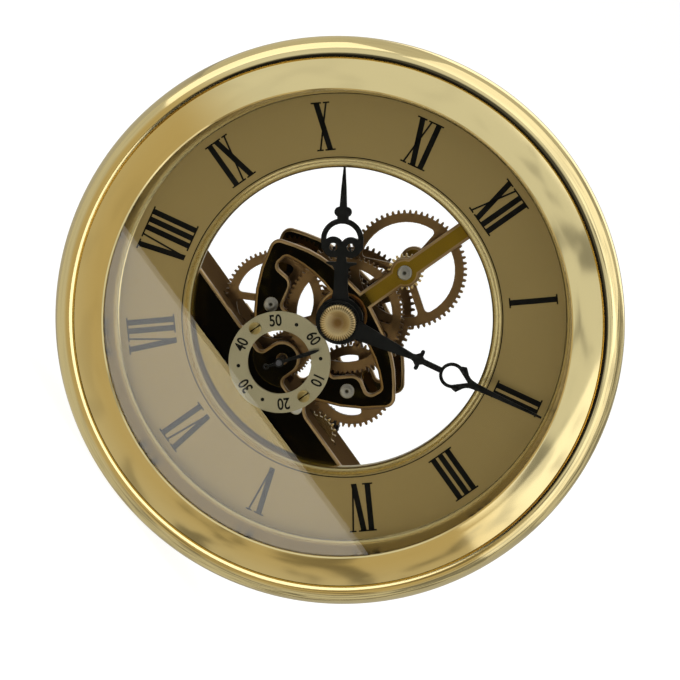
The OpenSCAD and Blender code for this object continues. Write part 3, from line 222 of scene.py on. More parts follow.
def build_turning_rings():
    group, entry, leave = new_group(
        "turning_rings",
        [("Vector", "NodeSocketVector", None), ("Fineness", "NodeSocketFloat", 4000.0),
         ("Roughness", "NodeSocketFloat", 0.3), ("Variation", "NodeSocketFloat", 0.1)],
        [("Roughness", "NodeSocketFloat"), ("Height", "NodeSocketFloat")])
    split = group.nodes.new("ShaderNodeSeparateXYZ")
    group.links.new(entry.outputs["Vector"], split.inputs[0])
    noise = group.nodes.new("ShaderNodeTexNoise")
    noise.noise_dimensions = "1D"
    noise.inputs["Scale"].default_value = 1
    noise.inputs["Detail"].default_value = 3
    reach = axis_distance(group, split.outputs)
    group.links.new(add_math(group, "MULTIPLY", reach, entry.outputs["Fineness"]), noise.inputs["W"])
    swing_roughness(group, entry, leave, noise)
    group.links.new(noise.outputs[0], leave.inputs["Height"])
    return group


def build_smudges():
    group, entry, leave = new_group(
        "smudges",
        [("Vector", "NodeSocketVector", None), ("Size", "NodeSocketFloat", 60.0),
         ("Roughness", "NodeSocketFloat", 0.1), ("Variation", "NodeSocketFloat", 0.05)],
        [("Roughness", "NodeSocketFloat")])
    noise = group.nodes.new("ShaderNodeTexNoise")
    noise.inputs["Detail"].default_value = 4
    group.links.new(entry.outputs["Vector"], noise.inputs["Vector"])
    group.links.new(entry.outputs["Size"], noise.inputs["Scale"])
    swing_roughness(group, entry, leave, noise)
    return group


turning_rings = build_turning_rings()
smudges = build_smudges()
print("built", turning_rings.name, "and", smudges.name)

# %% [markdown]
# ## The finishes
#
# A material starts from a plain Principled surface with its colour set on the socket, and one of the two groups is
# added in front of the roughness. Colours are linear values: a metal's colour is what it returns of a white room,
# so the gold looks darker than its colour wherever the room behind the camera is dark. Where a finish changes over
# the piece, two small helpers do it: ramp turns a distance into a factor, and mixed blends two colours by it.

# %% A base for every material
def surface(name, colour, metallic=0.0, roughness=0.5, specular=0.5):
    material = bpy.data.materials.new(name)
    material.use_nodes = True
    shader = material.node_tree.nodes["Principled BSDF"]
    shader.inputs["Base Color"].default_value = (*colour, 1)
    shader.inputs["Metallic"].default_value = metallic
    shader.inputs["Roughness"].default_value = roughness
    shader.inputs["Specular IOR Level"].default_value = specular
    return material, material.node_tree, shader


def object_vector(tree, centre=(0, 0, 0), turn=(0, 0, 0)):
    """Object coordinates, moved so that centre is the pattern's middle."""
    place = tree.nodes.new("ShaderNodeTexCoord")
    mapping = tree.nodes.new("ShaderNodeMapping")
    mapping.vector_type = "TEXTURE"
    mapping.inputs["Location"].default_value = centre
    mapping.inputs["Rotation"].default_value = turn
    tree.links.new(place.outputs["Object"], mapping.inputs["Vector"])
    return mapping.outputs[0]


def object_axes(tree, centre=(0, 0, 0)):
    """X, Y and Z of the object coordinates as three outputs."""
    split = tree.nodes.new("ShaderNodeSeparateXYZ")
    tree.links.new(object_vector(tree, centre), split.inputs[0])
    return split.outputs


def ramp(tree, value, low, high, to_low=0.0, to_high=1.0, kind="LINEAR"):
    """Runs from to_low to to_high while the value runs from low to high."""
    node = tree.nodes.new("ShaderNodeMapRange")
    node.interpolation_type = kind
    node.inputs["From Min"].default_value = low
    node.inputs["From Max"].default_value = high
    node.inputs["To Min"].default_value = to_low
    node.inputs["To Max"].default_value = to_high
    tree.links.new(value, node.inputs["Value"])
    return node.outputs[0]


def mixed(tree, factor, first, second):
    """Blends two colours. Each is a colour or another node's output."""
    mix = tree.nodes.new("ShaderNodeMix")
    mix.data_type = "RGBA"
    tree.links.new(factor, mix.inputs["Factor"])
    for label, colour in (("A", first), ("B", second)):
        if isinstance(colour, tuple):
            mix.inputs[label].default_value = (*colour, 1)
        else:
            tree.links.new(colour, mix.inputs[label])
    return mix.outputs["Result"]


def bumped(tree, shader, height, strength, distance):
    relief = tree.nodes.new("ShaderNodeBump")
    relief.inputs["Strength"].default_value = strength
    relief.inputs["Distance"].default_value = distance
    tree.links.new(height, relief.inputs["Height"])
    tree.links.new(relief.outputs["Normal"], shader.inputs["Normal"])


# %% [markdown]
# ## Smudged and turned metal
#
# Every finish below is one of two kinds. What was polished, painted or moulded is smudged: its roughness wanders a
# little, as where fingers have been. What was faced on a lathe is turned, and its fine rings also bump the surface.
# The gold is the brightest of them, and the dial is the same gold made satin, which is why it looks darker.

# %% Smudged and turned surfaces
ring_depth = 0.02 * MM


def roughened(group, size_label, name, colour, roughness, variation, size, centre, options):
    """A surface whose roughness comes from one of the two groups."""
    material, tree, shader = surface(name, colour, roughness=roughness, **options)
    effect = tree.nodes.new("ShaderNodeGroup")
    effect.node_tree = group
    tree.links.new(object_vector(tree, centre), effect.inputs["Vector"])
    effect.inputs[size_label].default_value = size
    effect.inputs["Roughness"].default_value = roughness
    effect.inputs["Variation"].default_value = variation
    tree.links.new(effect.outputs["Roughness"], shader.inputs["Roughness"])
    return material, tree, shader, effect


def smudged(name, colour, roughness, variation, size=60.0, **options):
    return roughened(smudges, "Size", name, colour, roughness, variation, size, (0, 0, 0), options)[0]


def turned(name, colour, roughness, variation, fineness=4000.0, centre=(0, 0, 0), bump=0.05, **options):
    material, tree, shader, effect = roughened(turning_rings, "Fineness", name, colour, roughness, variation,
                                               fineness, centre, options)
    if bump:
        bumped(tree, shader, effect.outputs["Height"], bump, ring_depth)
    return material


print("a turned surface has rings", round(ring_depth / MM, 2), "mm deep")

# %% The plain finishes
GOLD = (0.76, 0.63, 0.33)
BRASS = (0.62, 0.44, 0.17)
COPPER = (0.20, 0.115, 0.045)
STEEL = (0.62, 0.60, 0.56)
polished_gold = smudged("polished_gold", GOLD, 0.08, 0.05, metallic=1.0)
soft_gold = smudged("soft_gold", (0.50, 0.40, 0.19), 0.24, 0.06, 120.0, metallic=1.0)
satin_gold = turned("satin_gold", (0.43, 0.318, 0.13), 0.42, 0.14, 5200.0, metallic=1.0)
pale_satin_gold = smudged("pale_satin_gold", (0.46, 0.41, 0.265), 0.38, 0.06, 300.0, metallic=1.0)
barrel_gold = turned("barrel_gold", GOLD, 0.28, 0.12, 2600.0, metallic=1.0, bump=0.0)
turned_brass = smudged("turned_brass", BRASS, 0.25, 0.1, 200.0, metallic=1.0)
bright_steel = smudged("bright_steel", STEEL, 0.3, 0.06, 90.0, metallic=1.0)
hand_black = smudged("hand_black", (0.006, 0.0062, 0.0055), 0.35, 0.08, 150.0, specular=0.15)
numeral_ink = surface("numeral_ink", (0.006, 0.0055, 0.0045), roughness=0.5, specular=0.12)[0]
magnet_grey = smudged("magnet_grey", (0.11, 0.11, 0.12), 0.4, 0.1, 300.0, metallic=1.0)
moulded_dark = smudged("moulded_dark", (0.012, 0.011, 0.010), 0.42, 0.12, 400.0)
housing_bronze = smudged("housing_bronze", (0.19, 0.112, 0.048), 0.7, 0.1, 90.0, specular=0.0)
slot_dark = surface("slot_dark", (0.02, 0.014, 0.006), roughness=0.6, specular=0.1)[0]
screw_gold = smudged("screw_gold", (0.42, 0.33, 0.14), 0.3, 0.06, 200.0, metallic=1.0)
print("plain finishes:", len(bpy.data.materials))

# %% [markdown]
# ## The hands' nut and the axles' screws
#
# Two small finishes change over the piece. The nut that holds the hands has a brown middle in its dish that is a
# painted dark reflection, and the flanks of its knurl carry painted shade and light by turns. The axles' screws have
# a dimple at their centre, where the lathe's centre stood, and its dark is painted shade. Both are painted by the
# distance from the piece's own axis.

# %% Gold with a painted dark dish and shaded knurl, and steel with a painted dark dimple
knurl_ridges = 42.0
dish_shade_r = (0.7 * MM, 3.8 * MM)
knurl_r = (3.3 * MM, 3.9 * MM)
dimple_r = (0.25 * MM, 0.75 * MM)
# The brown of the dish and the brown of the knurl's flanks are painted shade, and so is the dark of the screws'
# dimple.
painted_dish_shade, nut_gold, painted_flank_shade = (0.20, 0.105, 0.032), (0.66, 0.51, 0.27), (0.26, 0.17, 0.07)
painted_dimple_shade, screw_silver = (0.035, 0.03, 0.022), (0.34, 0.32, 0.28)


def build_shaded_nut_gold():
    material, tree, shader = surface("shaded_nut_gold", nut_gold, metallic=1.0, roughness=0.33)
    axes = object_axes(tree)
    reach = axis_distance(tree, axes)
    # The middle of the dish is darkened towards brown: a painted dark reflection.
    dish = mixed(tree, ramp(tree, reach, *dish_shade_r), painted_dish_shade, nut_gold)
    around = add_math(tree, "ARCTAN2", axes["X"], axes["Z"])
    ridges = add_math(tree, "SINE", add_math(tree, "MULTIPLY", around, knurl_ridges))
    rim = ramp(tree, reach, *knurl_r)
    # Every other flank of the knurl is darkened: painted shade.
    flank = add_math(tree, "MULTIPLY", add_math(tree, "GREATER_THAN", ridges, 0.1), rim)
    tree.links.new(mixed(tree, flank, dish, painted_flank_shade), shader.inputs["Base Color"])
    return material


def build_screw_steel(centres):
    material, tree, shader = surface("screw_steel", screw_silver, metallic=1.0, roughness=0.32)
    nearest = axis_distance(tree, object_axes(tree, centres[0]))
    for centre in centres[1:]:
        nearest = add_math(tree, "MINIMUM", nearest, axis_distance(tree, object_axes(tree, centre)))
    # The dimple is darkened: painted shade in a hollow.
    out_of_dimple = ramp(tree, nearest, *dimple_r, kind="SMOOTHSTEP")
    tree.links.new(mixed(tree, out_of_dimple, painted_dimple_shade, screw_silver), shader.inputs["Base Color"])
    return material


shaded_nut_gold = build_shaded_nut_gold()
axle_places = [j["pos_m"] for j in frame["joints"] if j["child"] in ("motion_work", "third_work", "idler_work")]
screw_steel = build_screw_steel([tuple(p) for p in axle_places])
print("the nut's knurl has", int(knurl_ridges), "ridges, and", len(axle_places), "screws have a dimple")

# %% [markdown]
# ## The plates' lacquered bronze
#
# The skeleton plates are dark bronze under lacquer. The long arm is brushed, and its amber glow is painted light: its
# colour is lighter than the rest of the plate. The rest is polished like a mirror, so it turns black wherever the
# room in front of it is dark. One factor tells the arm from the rest: it grows with the height on the plate and falls
# with the distance from the middle line. It drives both the roughness, for the brushing, and the colour, for the
# painted glow.

# %% A bronze that is brushed and painted lighter along the arm, and polished below
arm_foot, arm_clear = 1 * MM, 12 * MM
arm_half, arm_past = 4 * MM, 8 * MM
polish, brushing = 0.003, 0.42


def build_plate_bronze(name, polished_colour, arm_painted_glow):
    material, tree, shader = surface(name, polished_colour, metallic=1.0, roughness=polish)
    axes = object_axes(tree)
    climb = ramp(tree, axes["Z"], arm_foot, arm_clear)
    inward = ramp(tree, add_math(tree, "ABSOLUTE", axes["X"]), arm_past, arm_half, to_low=0.08)
    on_arm = add_math(tree, "MULTIPLY", climb, inward)
    tree.links.new(add_math(tree, "MULTIPLY_ADD", on_arm, brushing, polish), shader.inputs["Roughness"])
    # The arm's lighter amber is a painted reflection.
    tree.links.new(mixed(tree, on_arm, polished_colour, arm_painted_glow), shader.inputs["Base Color"])
    return material


# The second colour is the arm's painted glow, lighter than the polished bronze.
plate_bronze = build_plate_bronze("plate_bronze", (0.130, 0.088, 0.012), (0.25, 0.150, 0.012))
# The rounded edges get a lighter copy of the bronze: a painted highlight on top of their real rounding.
edge_highlight_bronze = smudged("edge_highlight_bronze", (0.34, 0.22, 0.10), 0.3, 0.1, 120.0, metallic=1.0)
print("the plates have", plate_bronze.name, "with", edge_highlight_bronze.name, "at their rounded edges")

# %% [markdown]
# ## Wheels
#
# Each wheel is stamped from copper-toned brass and faced on a lathe, so its rings run round its own arbor. One
# material a wheel lets the rings have the right centre. The centres come from the clock's own joints.

# %% One copper finish a wheel, with its rings round its arbor
joint_place = {j["child"]: Vector(j["pos_m"]) for j in frame["joints"]}
wheel_nodes = [n for n in nodes if n.endswith("_wheel") or n in ("setting_gear", "setting_idler")]
for wheel in wheel_nodes:
    centre = joint_place[body_of_node[wheel]]
    wheel_finish = turned(wheel + "_copper", COPPER, 0.34, 0.18, 2400.0, centre=tuple(centre), metallic=1.0)
    paint(nodes[wheel], wheel_finish)
print("painted", len(wheel_nodes), "wheels:", ", ".join(sorted(wheel_nodes)))

# %% [markdown]
# ## The glass
#
# The lens is flat mineral glass. It sends back about eight hundredths of the room, which is what lays the pale veil
# over the lower half of the dial. A lamp's light would be stopped by the glass in the renderer, because it
# doesn't follow it through, so for shadow rays the glass is made fully clear.

# %% Clear glass that lets the lamps through
def build_lens_glass():
    material, tree, shader = surface("lens_glass", (0.985, 0.995, 0.99), roughness=0.0)
    shader.inputs["Transmission Weight"].default_value = 1.0
    shader.inputs["IOR"].default_value = 1.5
    clear = tree.nodes.new("ShaderNodeBsdfTransparent")
    ray = tree.nodes.new("ShaderNodeLightPath")
    mix = tree.nodes.new("ShaderNodeMixShader")
    tree.links.new(ray.outputs["Is Shadow Ray"], mix.inputs["Fac"])
    tree.links.new(shader.outputs[0], mix.inputs[1])
    tree.links.new(clear.outputs[0], mix.inputs[2])
    tree.links.new(mix.outputs[0], tree.nodes["Material Output"].inputs["Surface"])
    return material


lens_glass = build_lens_glass()
paint(nodes["lens"], lens_glass)

# %% [markdown]
# ## Motor and power
#
# Inside the base are the parts of a stepping motor: an enamelled copper winding, a green board and a dry cell.
# They are seen from behind only, but they get their own finishes. The winding's turns are rings along the coil,
# and the cell's jacket is two plain bands.

# %% Winding, board and cell
def build_cell_jacket(edges, colours):
    """Plain bands of colour along the cell. edges are the places where the colour changes."""
    material, tree, shader = surface("cell_jacket", colours[0], metallic=0.6, roughness=0.3)
    along = object_axes(tree)["X"]
    band = colours[0]
    for edge, colour in zip(edges, colours[1:]):
        band = mixed(tree, add_math(tree, "GREATER_THAN", along, edge), band, colour)
    tree.links.new(band, shader.inputs["Base Color"])
    return material


def build_winding_copper():
    material, tree, shader = surface("winding_copper", (0.42, 0.13, 0.04), metallic=1.0, roughness=0.3)
    wave = tree.nodes.new("ShaderNodeTexWave")
    wave.inputs["Scale"].default_value = 1500
    tree.links.new(object_vector(tree), wave.inputs["Vector"])
    bumped(tree, shader, wave.outputs["Fac"], 0.6, 0.05 * MM)
    return material


def build_board_green():
    material, tree, shader = surface("board_green", (0.01, 0.09, 0.03), roughness=0.35)
    bricks = tree.nodes.new("ShaderNodeTexBrick")
    bricks.inputs["Scale"].default_value = 260
    bricks.inputs["Mortar Size"].default_value = 0.035
    bricks.inputs["Color1"].default_value = (0.010, 0.085, 0.030, 1)
    bricks.inputs["Color2"].default_value = (0.012, 0.100, 0.036, 1)
    bricks.inputs["Mortar"].default_value = (0.030, 0.220, 0.080, 1)
    tree.links.new(object_vector(tree, turn=(math.radians(90), 0, 0)), bricks.inputs["Vector"])
    tree.links.new(bricks.outputs["Color"], shader.inputs["Base Color"])
    return material


cell_low, cell_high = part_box("battery")
cell_edges = [cell_low.x + 0.8 * MM, cell_low.x + 14 * MM, cell_high.x - 2.2 * MM]
bare_tin = (0.55, 0.55, 0.55)
cell_jacket = build_cell_jacket(cell_edges, [bare_tin, (0.03, 0.05, 0.11), (0.30, 0.31, 0.33), bare_tin])
winding_copper = build_winding_copper()
board_green = build_board_green()
print("the cell is", round((cell_high.x - cell_low.x) / MM, 1), "mm long")

# %% [markdown]
# ## One finish for every solid
#
# A finish says what a piece is made of, so pieces of one kind share one: bare steel for screws, cores and thin
# arbors, turned brass for pinions, pipes and posts. A dictionary from the solid's name to its finish is easy to read,
# and it shows at the end whether a solid was left out.

# %% Give every solid its finish
finishes = {
    "bezel": polished_gold, "rehaut_ring": soft_gold, "dial_bead": soft_gold, "hand_nut": shaded_nut_gold,
    "dial": satin_gold, "barrel": barrel_gold, "seconds_ring": pale_satin_gold,
    "front_plate": plate_bronze, "rear_plate": plate_bronze, "base_housing": housing_bronze,
    "carrier_ring": moulded_dark, "setting_knob": moulded_dark,
    "minute_hand": hand_black, "hour_hand": hand_black, "seconds_hand": hand_black,
    "rotor_magnet": magnet_grey, "seconds_arbor": magnet_grey, "coil_winding": winding_copper,
    "circuit_board": board_green, "battery": cell_jacket, "axle_screws": screw_steel, "ring_screws": screw_gold}
steel_nodes = ["carrier_screws", "housing_screws", "axle_nuts", "centre_arbor", "setting_stem",
               "battery_contacts", "stator", "coil_core", "intermediate_pinion", "rotor_pinion"]
brass_nodes = ["axle_spacers", "cannon_pinion", "friction_spring", "hour_pipe", "minute_pinion",
               "seconds_pinion", "third_pinion", "stem_pinion", "ring_posts", "motor_bridge"]
finishes.update({n: bright_steel for n in steel_nodes})
finishes.update({n: turned_brass for n in brass_nodes})
for name, material in finishes.items():
    paint(nodes[name], material)
unpainted = sorted(set(nodes) - set(finishes) - set(wheel_nodes) - {"lens"})
print("painted", len(finishes), "solids, and left out", unpainted)

# %% [markdown]
# ## Rings turned on a lathe
#
# The bezel, the sloping ring under the glass, the bead round the dial's hole and the barrel are all turned parts,
# and turning is how they are best modelled. One point is extruded from corner to corner of the section, and the
# outline is then spun round the clock's axis. The rows of narrow faces that this gives lie along the ring, so a
# mirror finish runs round it without a ripple. The solid's own triangles cross the ring at all angles and would
# show as dents.

# %% Spin the four gold rings from their sections
spin_steps = 192
ring_smooth = math.radians(28)


def spun(name, section, material, body):
    """A ring from its section, a list of radius and height over the bezel's rear face in millimetres."""
    clear_selection()
    bpy.ops.mesh.primitive_plane_add(size=1, location=(0, 0, 0))
    ring = bpy.context.object
    edit_all(ring)
    bpy.ops.mesh.merge(type="CENTER")
    bpy.ops.transform.translate(value=(section[0][0] * MM, -section[0][1] * MM, 0))
    for here, there in zip(section, section[1:] + section[:1]):
        step = ((there[0] - here[0]) * MM, (here[1] - there[1]) * MM, 0)
        bpy.ops.mesh.extrude_vertices_move(TRANSFORM_OT_translate={"value": step})
    bpy.ops.mesh.select_all(action="SELECT")
    bpy.ops.mesh.spin(steps=spin_steps, angle=math.radians(360), center=(0, 0, 0), axis=(0, 1, 0))
    bpy.ops.mesh.select_all(action="SELECT")
    bpy.ops.mesh.remove_doubles(threshold=same_place)
    bpy.ops.mesh.normals_make_consistent(inside=False)
    bpy.ops.object.mode_set(mode="OBJECT")
    bpy.ops.object.shade_smooth_by_angle(angle=ring_smooth)
    return settle(ring, name, material, body)


lip_centre, lip_reach = (70.2, 6.8), (4.79, 4.59)
lip = [(lip_centre[0] + lip_reach[0] * math.cos(math.radians(a)),
        lip_centre[1] + lip_reach[1] * math.sin(math.radians(a))) for a in range(-52, 95, 5)]
band_foot, band_width, band_rise = (69.4, 11.1), 7, 2.05
crown = [(band_foot[0] - band_width * s, band_foot[1] + band_rise * (1.2 * s - 0.2 * s * s))
         for s in (1 / 6, 1 / 3, 1 / 2, 2 / 3, 5 / 6, 1)]
sections = {
    "bezel": [(73, 0)] + lip + [(69.9, 11.2), (69.65, 10.6), band_foot] + crown + [
        (61.9, 13.29), (61.5, 13.15), (61.4, 12.85), (61.4, 12.4), (63.1, 12.4), (63.1, 11), (63.6, 11),
        (63.6, 2.5), (64.4, 2.5), (64.4, 0.4), (65.1, 0.4), (65.1, 0)],
    "rehaut_ring": [(63.4, -2), (63.4, 11), (61.4, 11), (60, -1.4), (59.5, -1.55), (59.5, -2)],
    "dial_bead": [(39.8, -5.3), (40.8, -5.3), (40.8, -2), (42, -2), (42, -1.8), (41.75, -1.7), (41.4, -1.5),
                  (41, -1.22), (40.6, -1.1), (40.2, -1.2), (39.9, -1.5), (39.8, -1.8)],
    "barrel": [(63.8, -38), (64.6, -38), (65, -37.6), (65, 0), (64.7, 0.4), (64.3, 0.4), (64.3, 2.3),
               (63.8, 2.3), (63.8, -5.6), (62, -5.6), (62, -6.8), (63.8, -6.8)]}
for name, section in sections.items():
    ring = spun(name + "_turned", section, finishes[name], body_of_node[name])
    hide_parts(name)
    print(name, "has", len(ring.data.polygons), "faces")

# %% [markdown]
# ## Smooth heads and a smooth seconds ring
#
# The small screw heads and the edges of the seconds ring are round as well, but here the solid's own triangles are
# fine enough. Joined at their corners and shaded smooth up to an angle, they lose their flat facets. The slots of
# the ring's screws are painted dark, as they lie in their own shade.

# %% Swap the small round pieces for smooth copies
smooth_nodes = {"seconds_ring": 30, "axle_screws": 40, "housing_screws": 40, "ring_screws": 40}
slot_top, slot_floor = 0.1 * MM, 0.32 * MM
for name, angle in smooth_nodes.items():
    copy = merged_copy(name, angle)
    settle(copy, name + "_smooth", finishes[name], body_of_node[name])
    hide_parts(name)
    if name == "ring_screws":
        head_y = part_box(name)[0].y
        copy.data.materials.append(slot_dark)
        for face in copy.data.polygons:
            sunk = slot_top < face.center.y - head_y < slot_floor
            face.material_index = 1 if sunk and (face.normal.y < -0.9 or abs(face.normal.x) > 0.9) else 0
print("smoothed", len(smooth_nodes), "pieces")

# %% [markdown]
# ## Rounded edges on the plates
# The plates' front edges are rounded, and that soft edge, painted a lighter bronze as a highlight, is the only thing
# that shows their outline against the dark. A bevel would trip over the many short edges of a cut outline. So the
# front face is pushed back first, and then inset in three steps, each a little further in and forward again: the
# steps lie on a quarter circle.

# %% Round the front edges of both plates
edge_width = 0.75 * MM
edge_depth = 0.6 * MM
edge_angles = [math.radians(a) for a in (0, 28, 58, 90)]
same_level = 0.05 * MM
plate_smooth = 40


def round_front(node_name, new_name, level_y):
    piece = merged_copy(node_name, plate_smooth)
    picked = pick(piece, "FACE",
                  lambda face: face.normal.y < -0.99 and abs(face.center.y - level_y) < same_level)
    bpy.ops.transform.translate(value=(0, edge_depth, 0))
    for a, b in zip(edge_angles, edge_angles[1:]):
        bpy.ops.mesh.inset(thickness=edge_width * (math.cos(a) - math.cos(b)),
                           depth=edge_depth * (math.sin(b) - math.sin(a)), use_even_offset=True)
    bpy.ops.object.mode_set(mode="OBJECT")
    bpy.ops.object.shade_smooth_by_angle(angle=math.radians(plate_smooth))
    settle(piece, new_name, plate_bronze, "root")
    # The rounded faces take the lighter edge bronze, a painted highlight; the flat faces keep the plate's bronze.
    piece.data.materials.append(edge_highlight_bronze)
    for face in piece.data.polygons:
        flat = abs(face.normal.y) > 0.995
        face.use_smooth = not flat
        face.material_index = 0 if flat else 1
    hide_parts(node_name)
    print(node_name, "has", picked, "front faces and", len(piece.data.polygons), "faces when rounded")


# The ring's posts stand on the front plate, so their feet give its level.
round_front("front_plate", "front_plate_rounded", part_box("ring_posts")[1].y)
round_front("rear_plate", "rear_plate_rounded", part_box("rear_plate")[0].y)

# %% [markdown]
# ## Printed numerals
#
# The chapter ring has Roman numerals in a narrow book face: upright strokes with flat serifs, and slanted
# strokes of which one is thick and one is thin. Such a face is quick to build from bars. A bar is a cube, cut to
# size, and a slanted one has its top moved sideways. Each numeral is made at twelve o'clock and then turned
# about the clock's axis to its hour.

# %% Bars for the numerals
numeral_low = 44.3 * MM
numeral_high = 57.2 * MM
thick = 1.5 * MM
thin = 0.5 * MM
serif_t = 0.42 * MM
serif_over = 0.62 * MM
ink_t = 0.05 * MM
v_spread = 1.45 * MM
v_feet = (0.15 * MM, 0.35 * MM)
x_spread = 1.35 * MM


def printed_bar(x_low, x_high, width, z_low, z_high):
    """A flat bar on the dial, whose top may stand sideways of its foot."""
    clear_selection()
    middle_z = (z_low + z_high) / 2
    bpy.ops.mesh.primitive_cube_add(size=1, location=(x_low, dial_y - ink_t / 2, middle_z))
    bar = bpy.context.object
    bar.scale = (width, ink_t, z_high - z_low)
    bpy.ops.object.transform_apply(location=True, rotation=True, scale=True)
    if x_high != x_low:
        pick(bar, "VERT", lambda corner: corner.co.z > middle_z)
        bpy.ops.transform.translate(value=(x_high - x_low, 0, 0))
        bpy.ops.object.mode_set(mode="OBJECT")
    return bar


def stroke(x_low, x_high, width):
    return printed_bar(x_low, x_high, width, numeral_low, numeral_high)


def foot(x, width):
    return printed_bar(x, x, width + 2 * serif_over, numeral_low, numeral_low + serif_t)


def head(x, width):
    return printed_bar(x, x, width + 2 * serif_over, numeral_high - serif_t, numeral_high)


def letter_i(x):
    return [stroke(x, x, thick), foot(x, thick), head(x, thick)]


def letter_v(x):
    return [stroke(x + v_feet[0], x - v_spread, thick), stroke(x + v_feet[1], x + v_spread, thin),
            head(x - v_spread, thick), head(x + v_spread, thin)]


def letter_x(x):
    left, right = x - x_spread, x + x_spread
    return [stroke(right, left, thick), stroke(left, right, thin),
            head(left, thick), head(right, thin), foot(right, thick), foot(left, thin)]


letters = {"I": (letter_i, 2.25 * MM), "V": (letter_v, 4.7 * MM), "X": (letter_x, 4.6 * MM)}
print("a numeral is", round((numeral_high - numeral_low) / MM, 1), "mm tall")

# %% Twelve numerals, each turned to its hour
def joined(bars):
    clear_selection()
    for bar in bars:
        bar.select_set(True)
    bpy.context.view_layer.objects.active = bars[0]
    bpy.ops.object.join()
    return bpy.context.object


hours = ["I", "II", "III", "IV", "V", "VI", "VII", "VIII", "IX", "X", "XI", "XII"]
for hour, word in enumerate(hours, start=1):
    total = sum(letters[c][1] for c in word)
    x = -total / 2
    bars = []
    for c in word:
        draw, advance = letters[c]
        bars += draw(x + advance / 2)
        x += advance
    numeral = joined(bars)
    numeral.rotation_euler = (0, math.radians(30 * hour), 0)
    settle(numeral, "numeral_" + word, numeral_ink, "root")
print("printed", len(hours), "numerals")

# %% [markdown]
# ## Fine rings on the dial
#
# A thin black line runs round the foot of the numerals, and a thin gold one round their top. Each is a circle that
# is extruded, widened a little and given a thickness.

# %% Two printed circles
circle_steps = 180
inner_line_r, inner_line_w = 42.35 * MM, 0.28 * MM
outer_line_r, outer_line_w = 59.2 * MM, 0.3 * MM


def printed_circle(name, radius, width, material):
    clear_selection()
    bpy.ops.mesh.primitive_circle_add(vertices=circle_steps, radius=radius, fill_type="NOTHING",
                                      location=(0, 0, 0), rotation=(math.radians(90), 0, 0))
    ring = bpy.context.object
    bpy.ops.object.transform_apply(location=False, rotation=True, scale=False)
    edit_all(ring)
    bpy.ops.mesh.extrude_edges_move()
    grow = (radius + width) / radius
    bpy.ops.transform.resize(value=(grow, 1, grow), center_override=(0, 0, 0))
    bpy.ops.mesh.select_all(action="SELECT")
    bpy.ops.mesh.normals_make_consistent(inside=False)
    bpy.ops.object.mode_set(mode="OBJECT")
    ring.location = (0, dial_y, 0)
    wall = ring.modifiers.new("wall", "SOLIDIFY")
    wall.thickness = 2 * ink_t
    wall.offset = 0
    bpy.ops.object.modifier_apply(modifier=wall.name)
    settle(ring, name, material, "root")


printed_circle("inner_line", inner_line_r, inner_line_w, numeral_ink)
printed_circle("outer_line", outer_line_r, outer_line_w, polished_gold)
print("two lines on the dial at", round(inner_line_r / MM, 2), "and", round(outer_line_r / MM, 2), "mm")

# %% [markdown]
# ## The small seconds ring
#
# The ring is pale satin gold with six numbers and four dots, and its two screws stand where a quarter and three
# quarters of a minute would be. A number is a text object. It is made a metre tall and scaled down once it is a
# mesh, because the filling of a letter's outline goes wrong at a size of a few millimetres.

# %% Numbers and dots on the seconds ring
number_height = 2.85 * MM
number_r = 10.95 * MM
number_size, number_weight = 1.38, 0.028
number_shape = Matrix.Diagonal((0.86, 1.08, 1, 1))
dot_r = 0.5 * MM
dot_edge = 0.015 * MM


def ring_place(degrees, reach):
    a = math.radians(degrees)
    return Vector((reach * math.sin(a), ring_y, seconds_centre_z + reach * math.cos(a)))


def ring_number(word, degrees):
    clear_selection()
    bpy.ops.object.text_add(location=(0, 0, 0))
    text = bpy.context.object
    text.data.body = word
    text.data.align_x = "CENTER"
    text.data.align_y = "CENTER"
    text.data.size = number_size
    text.data.offset = number_weight
    text.data.extrude = ink_t / number_height
    bpy.ops.object.convert(target="MESH")
    stand_up = Matrix.Rotation(math.radians(90), 4, "X")
    text.data.transform(stand_up @ number_shape @ Matrix.Scale(number_height, 4))
    text.rotation_euler = (0, math.radians(degrees), 0)
    text.location = ring_place(degrees, number_r)
    settle(text, "seconds_" + word, numeral_ink, "root")


for step, word in enumerate(["60", "10", "20", "30", "40", "50"]):
    ring_number(word, 60 * step)
for degrees in (30, 150, 210, 330):
    clear_selection()
    bpy.ops.mesh.primitive_cylinder_add(vertices=20, radius=dot_r, depth=2 * ink_t,
                                        location=ring_place(degrees, number_r),
                                        rotation=(math.radians(90), 0, 0))
    dot = bpy.context.object
    edit_all(dot)
    bpy.ops.mesh.bevel(offset=dot_edge, segments=1)
    bpy.ops.object.mode_set(mode="OBJECT")
    settle(dot, f"seconds_dot_{degrees}", numeral_ink, "root")
print("the seconds ring's centre is", round(-seconds_centre_z / MM, 1), "mm below the clock's")

# %% [markdown]
# ## The room
#
# Polished metal shows the room, so the room is built like a photographer's tent. The flat glass and the flat plates
# face the camera and send it what lies behind it: a dark room, and low down a bright floor whose far edge draws
# the slanting line across the lower half of the clock. Two cards, six metres away, stand for the two halves. So far
# off they are small for the curved bezel, which sees the pale walls of the tent instead. The plates lie deeper than
# the glass and show the edge of the bright card a little higher up, so a narrow strip at that edge glows for the
# glass alone, and the line runs on across the plate without a step.
#
# The backdrop has to be white where it is looked at, also through the glass, but not as bright where the clock
# reflects it. The light path tells these apart: a look through the lens crosses two surfaces of glass, and light
# that went in, met the movement and came out again has crossed four.

# %% Floor and cards
def staged_plane(name, size, place, turn, material):
    clear_selection()
    bpy.ops.mesh.primitive_plane_add(size=1, location=place, rotation=turn)
    plane = bpy.context.object
    plane.name = name
    plane.scale = (size[0], size[1], 1)
    plane.data.materials.append(material)
    return plane


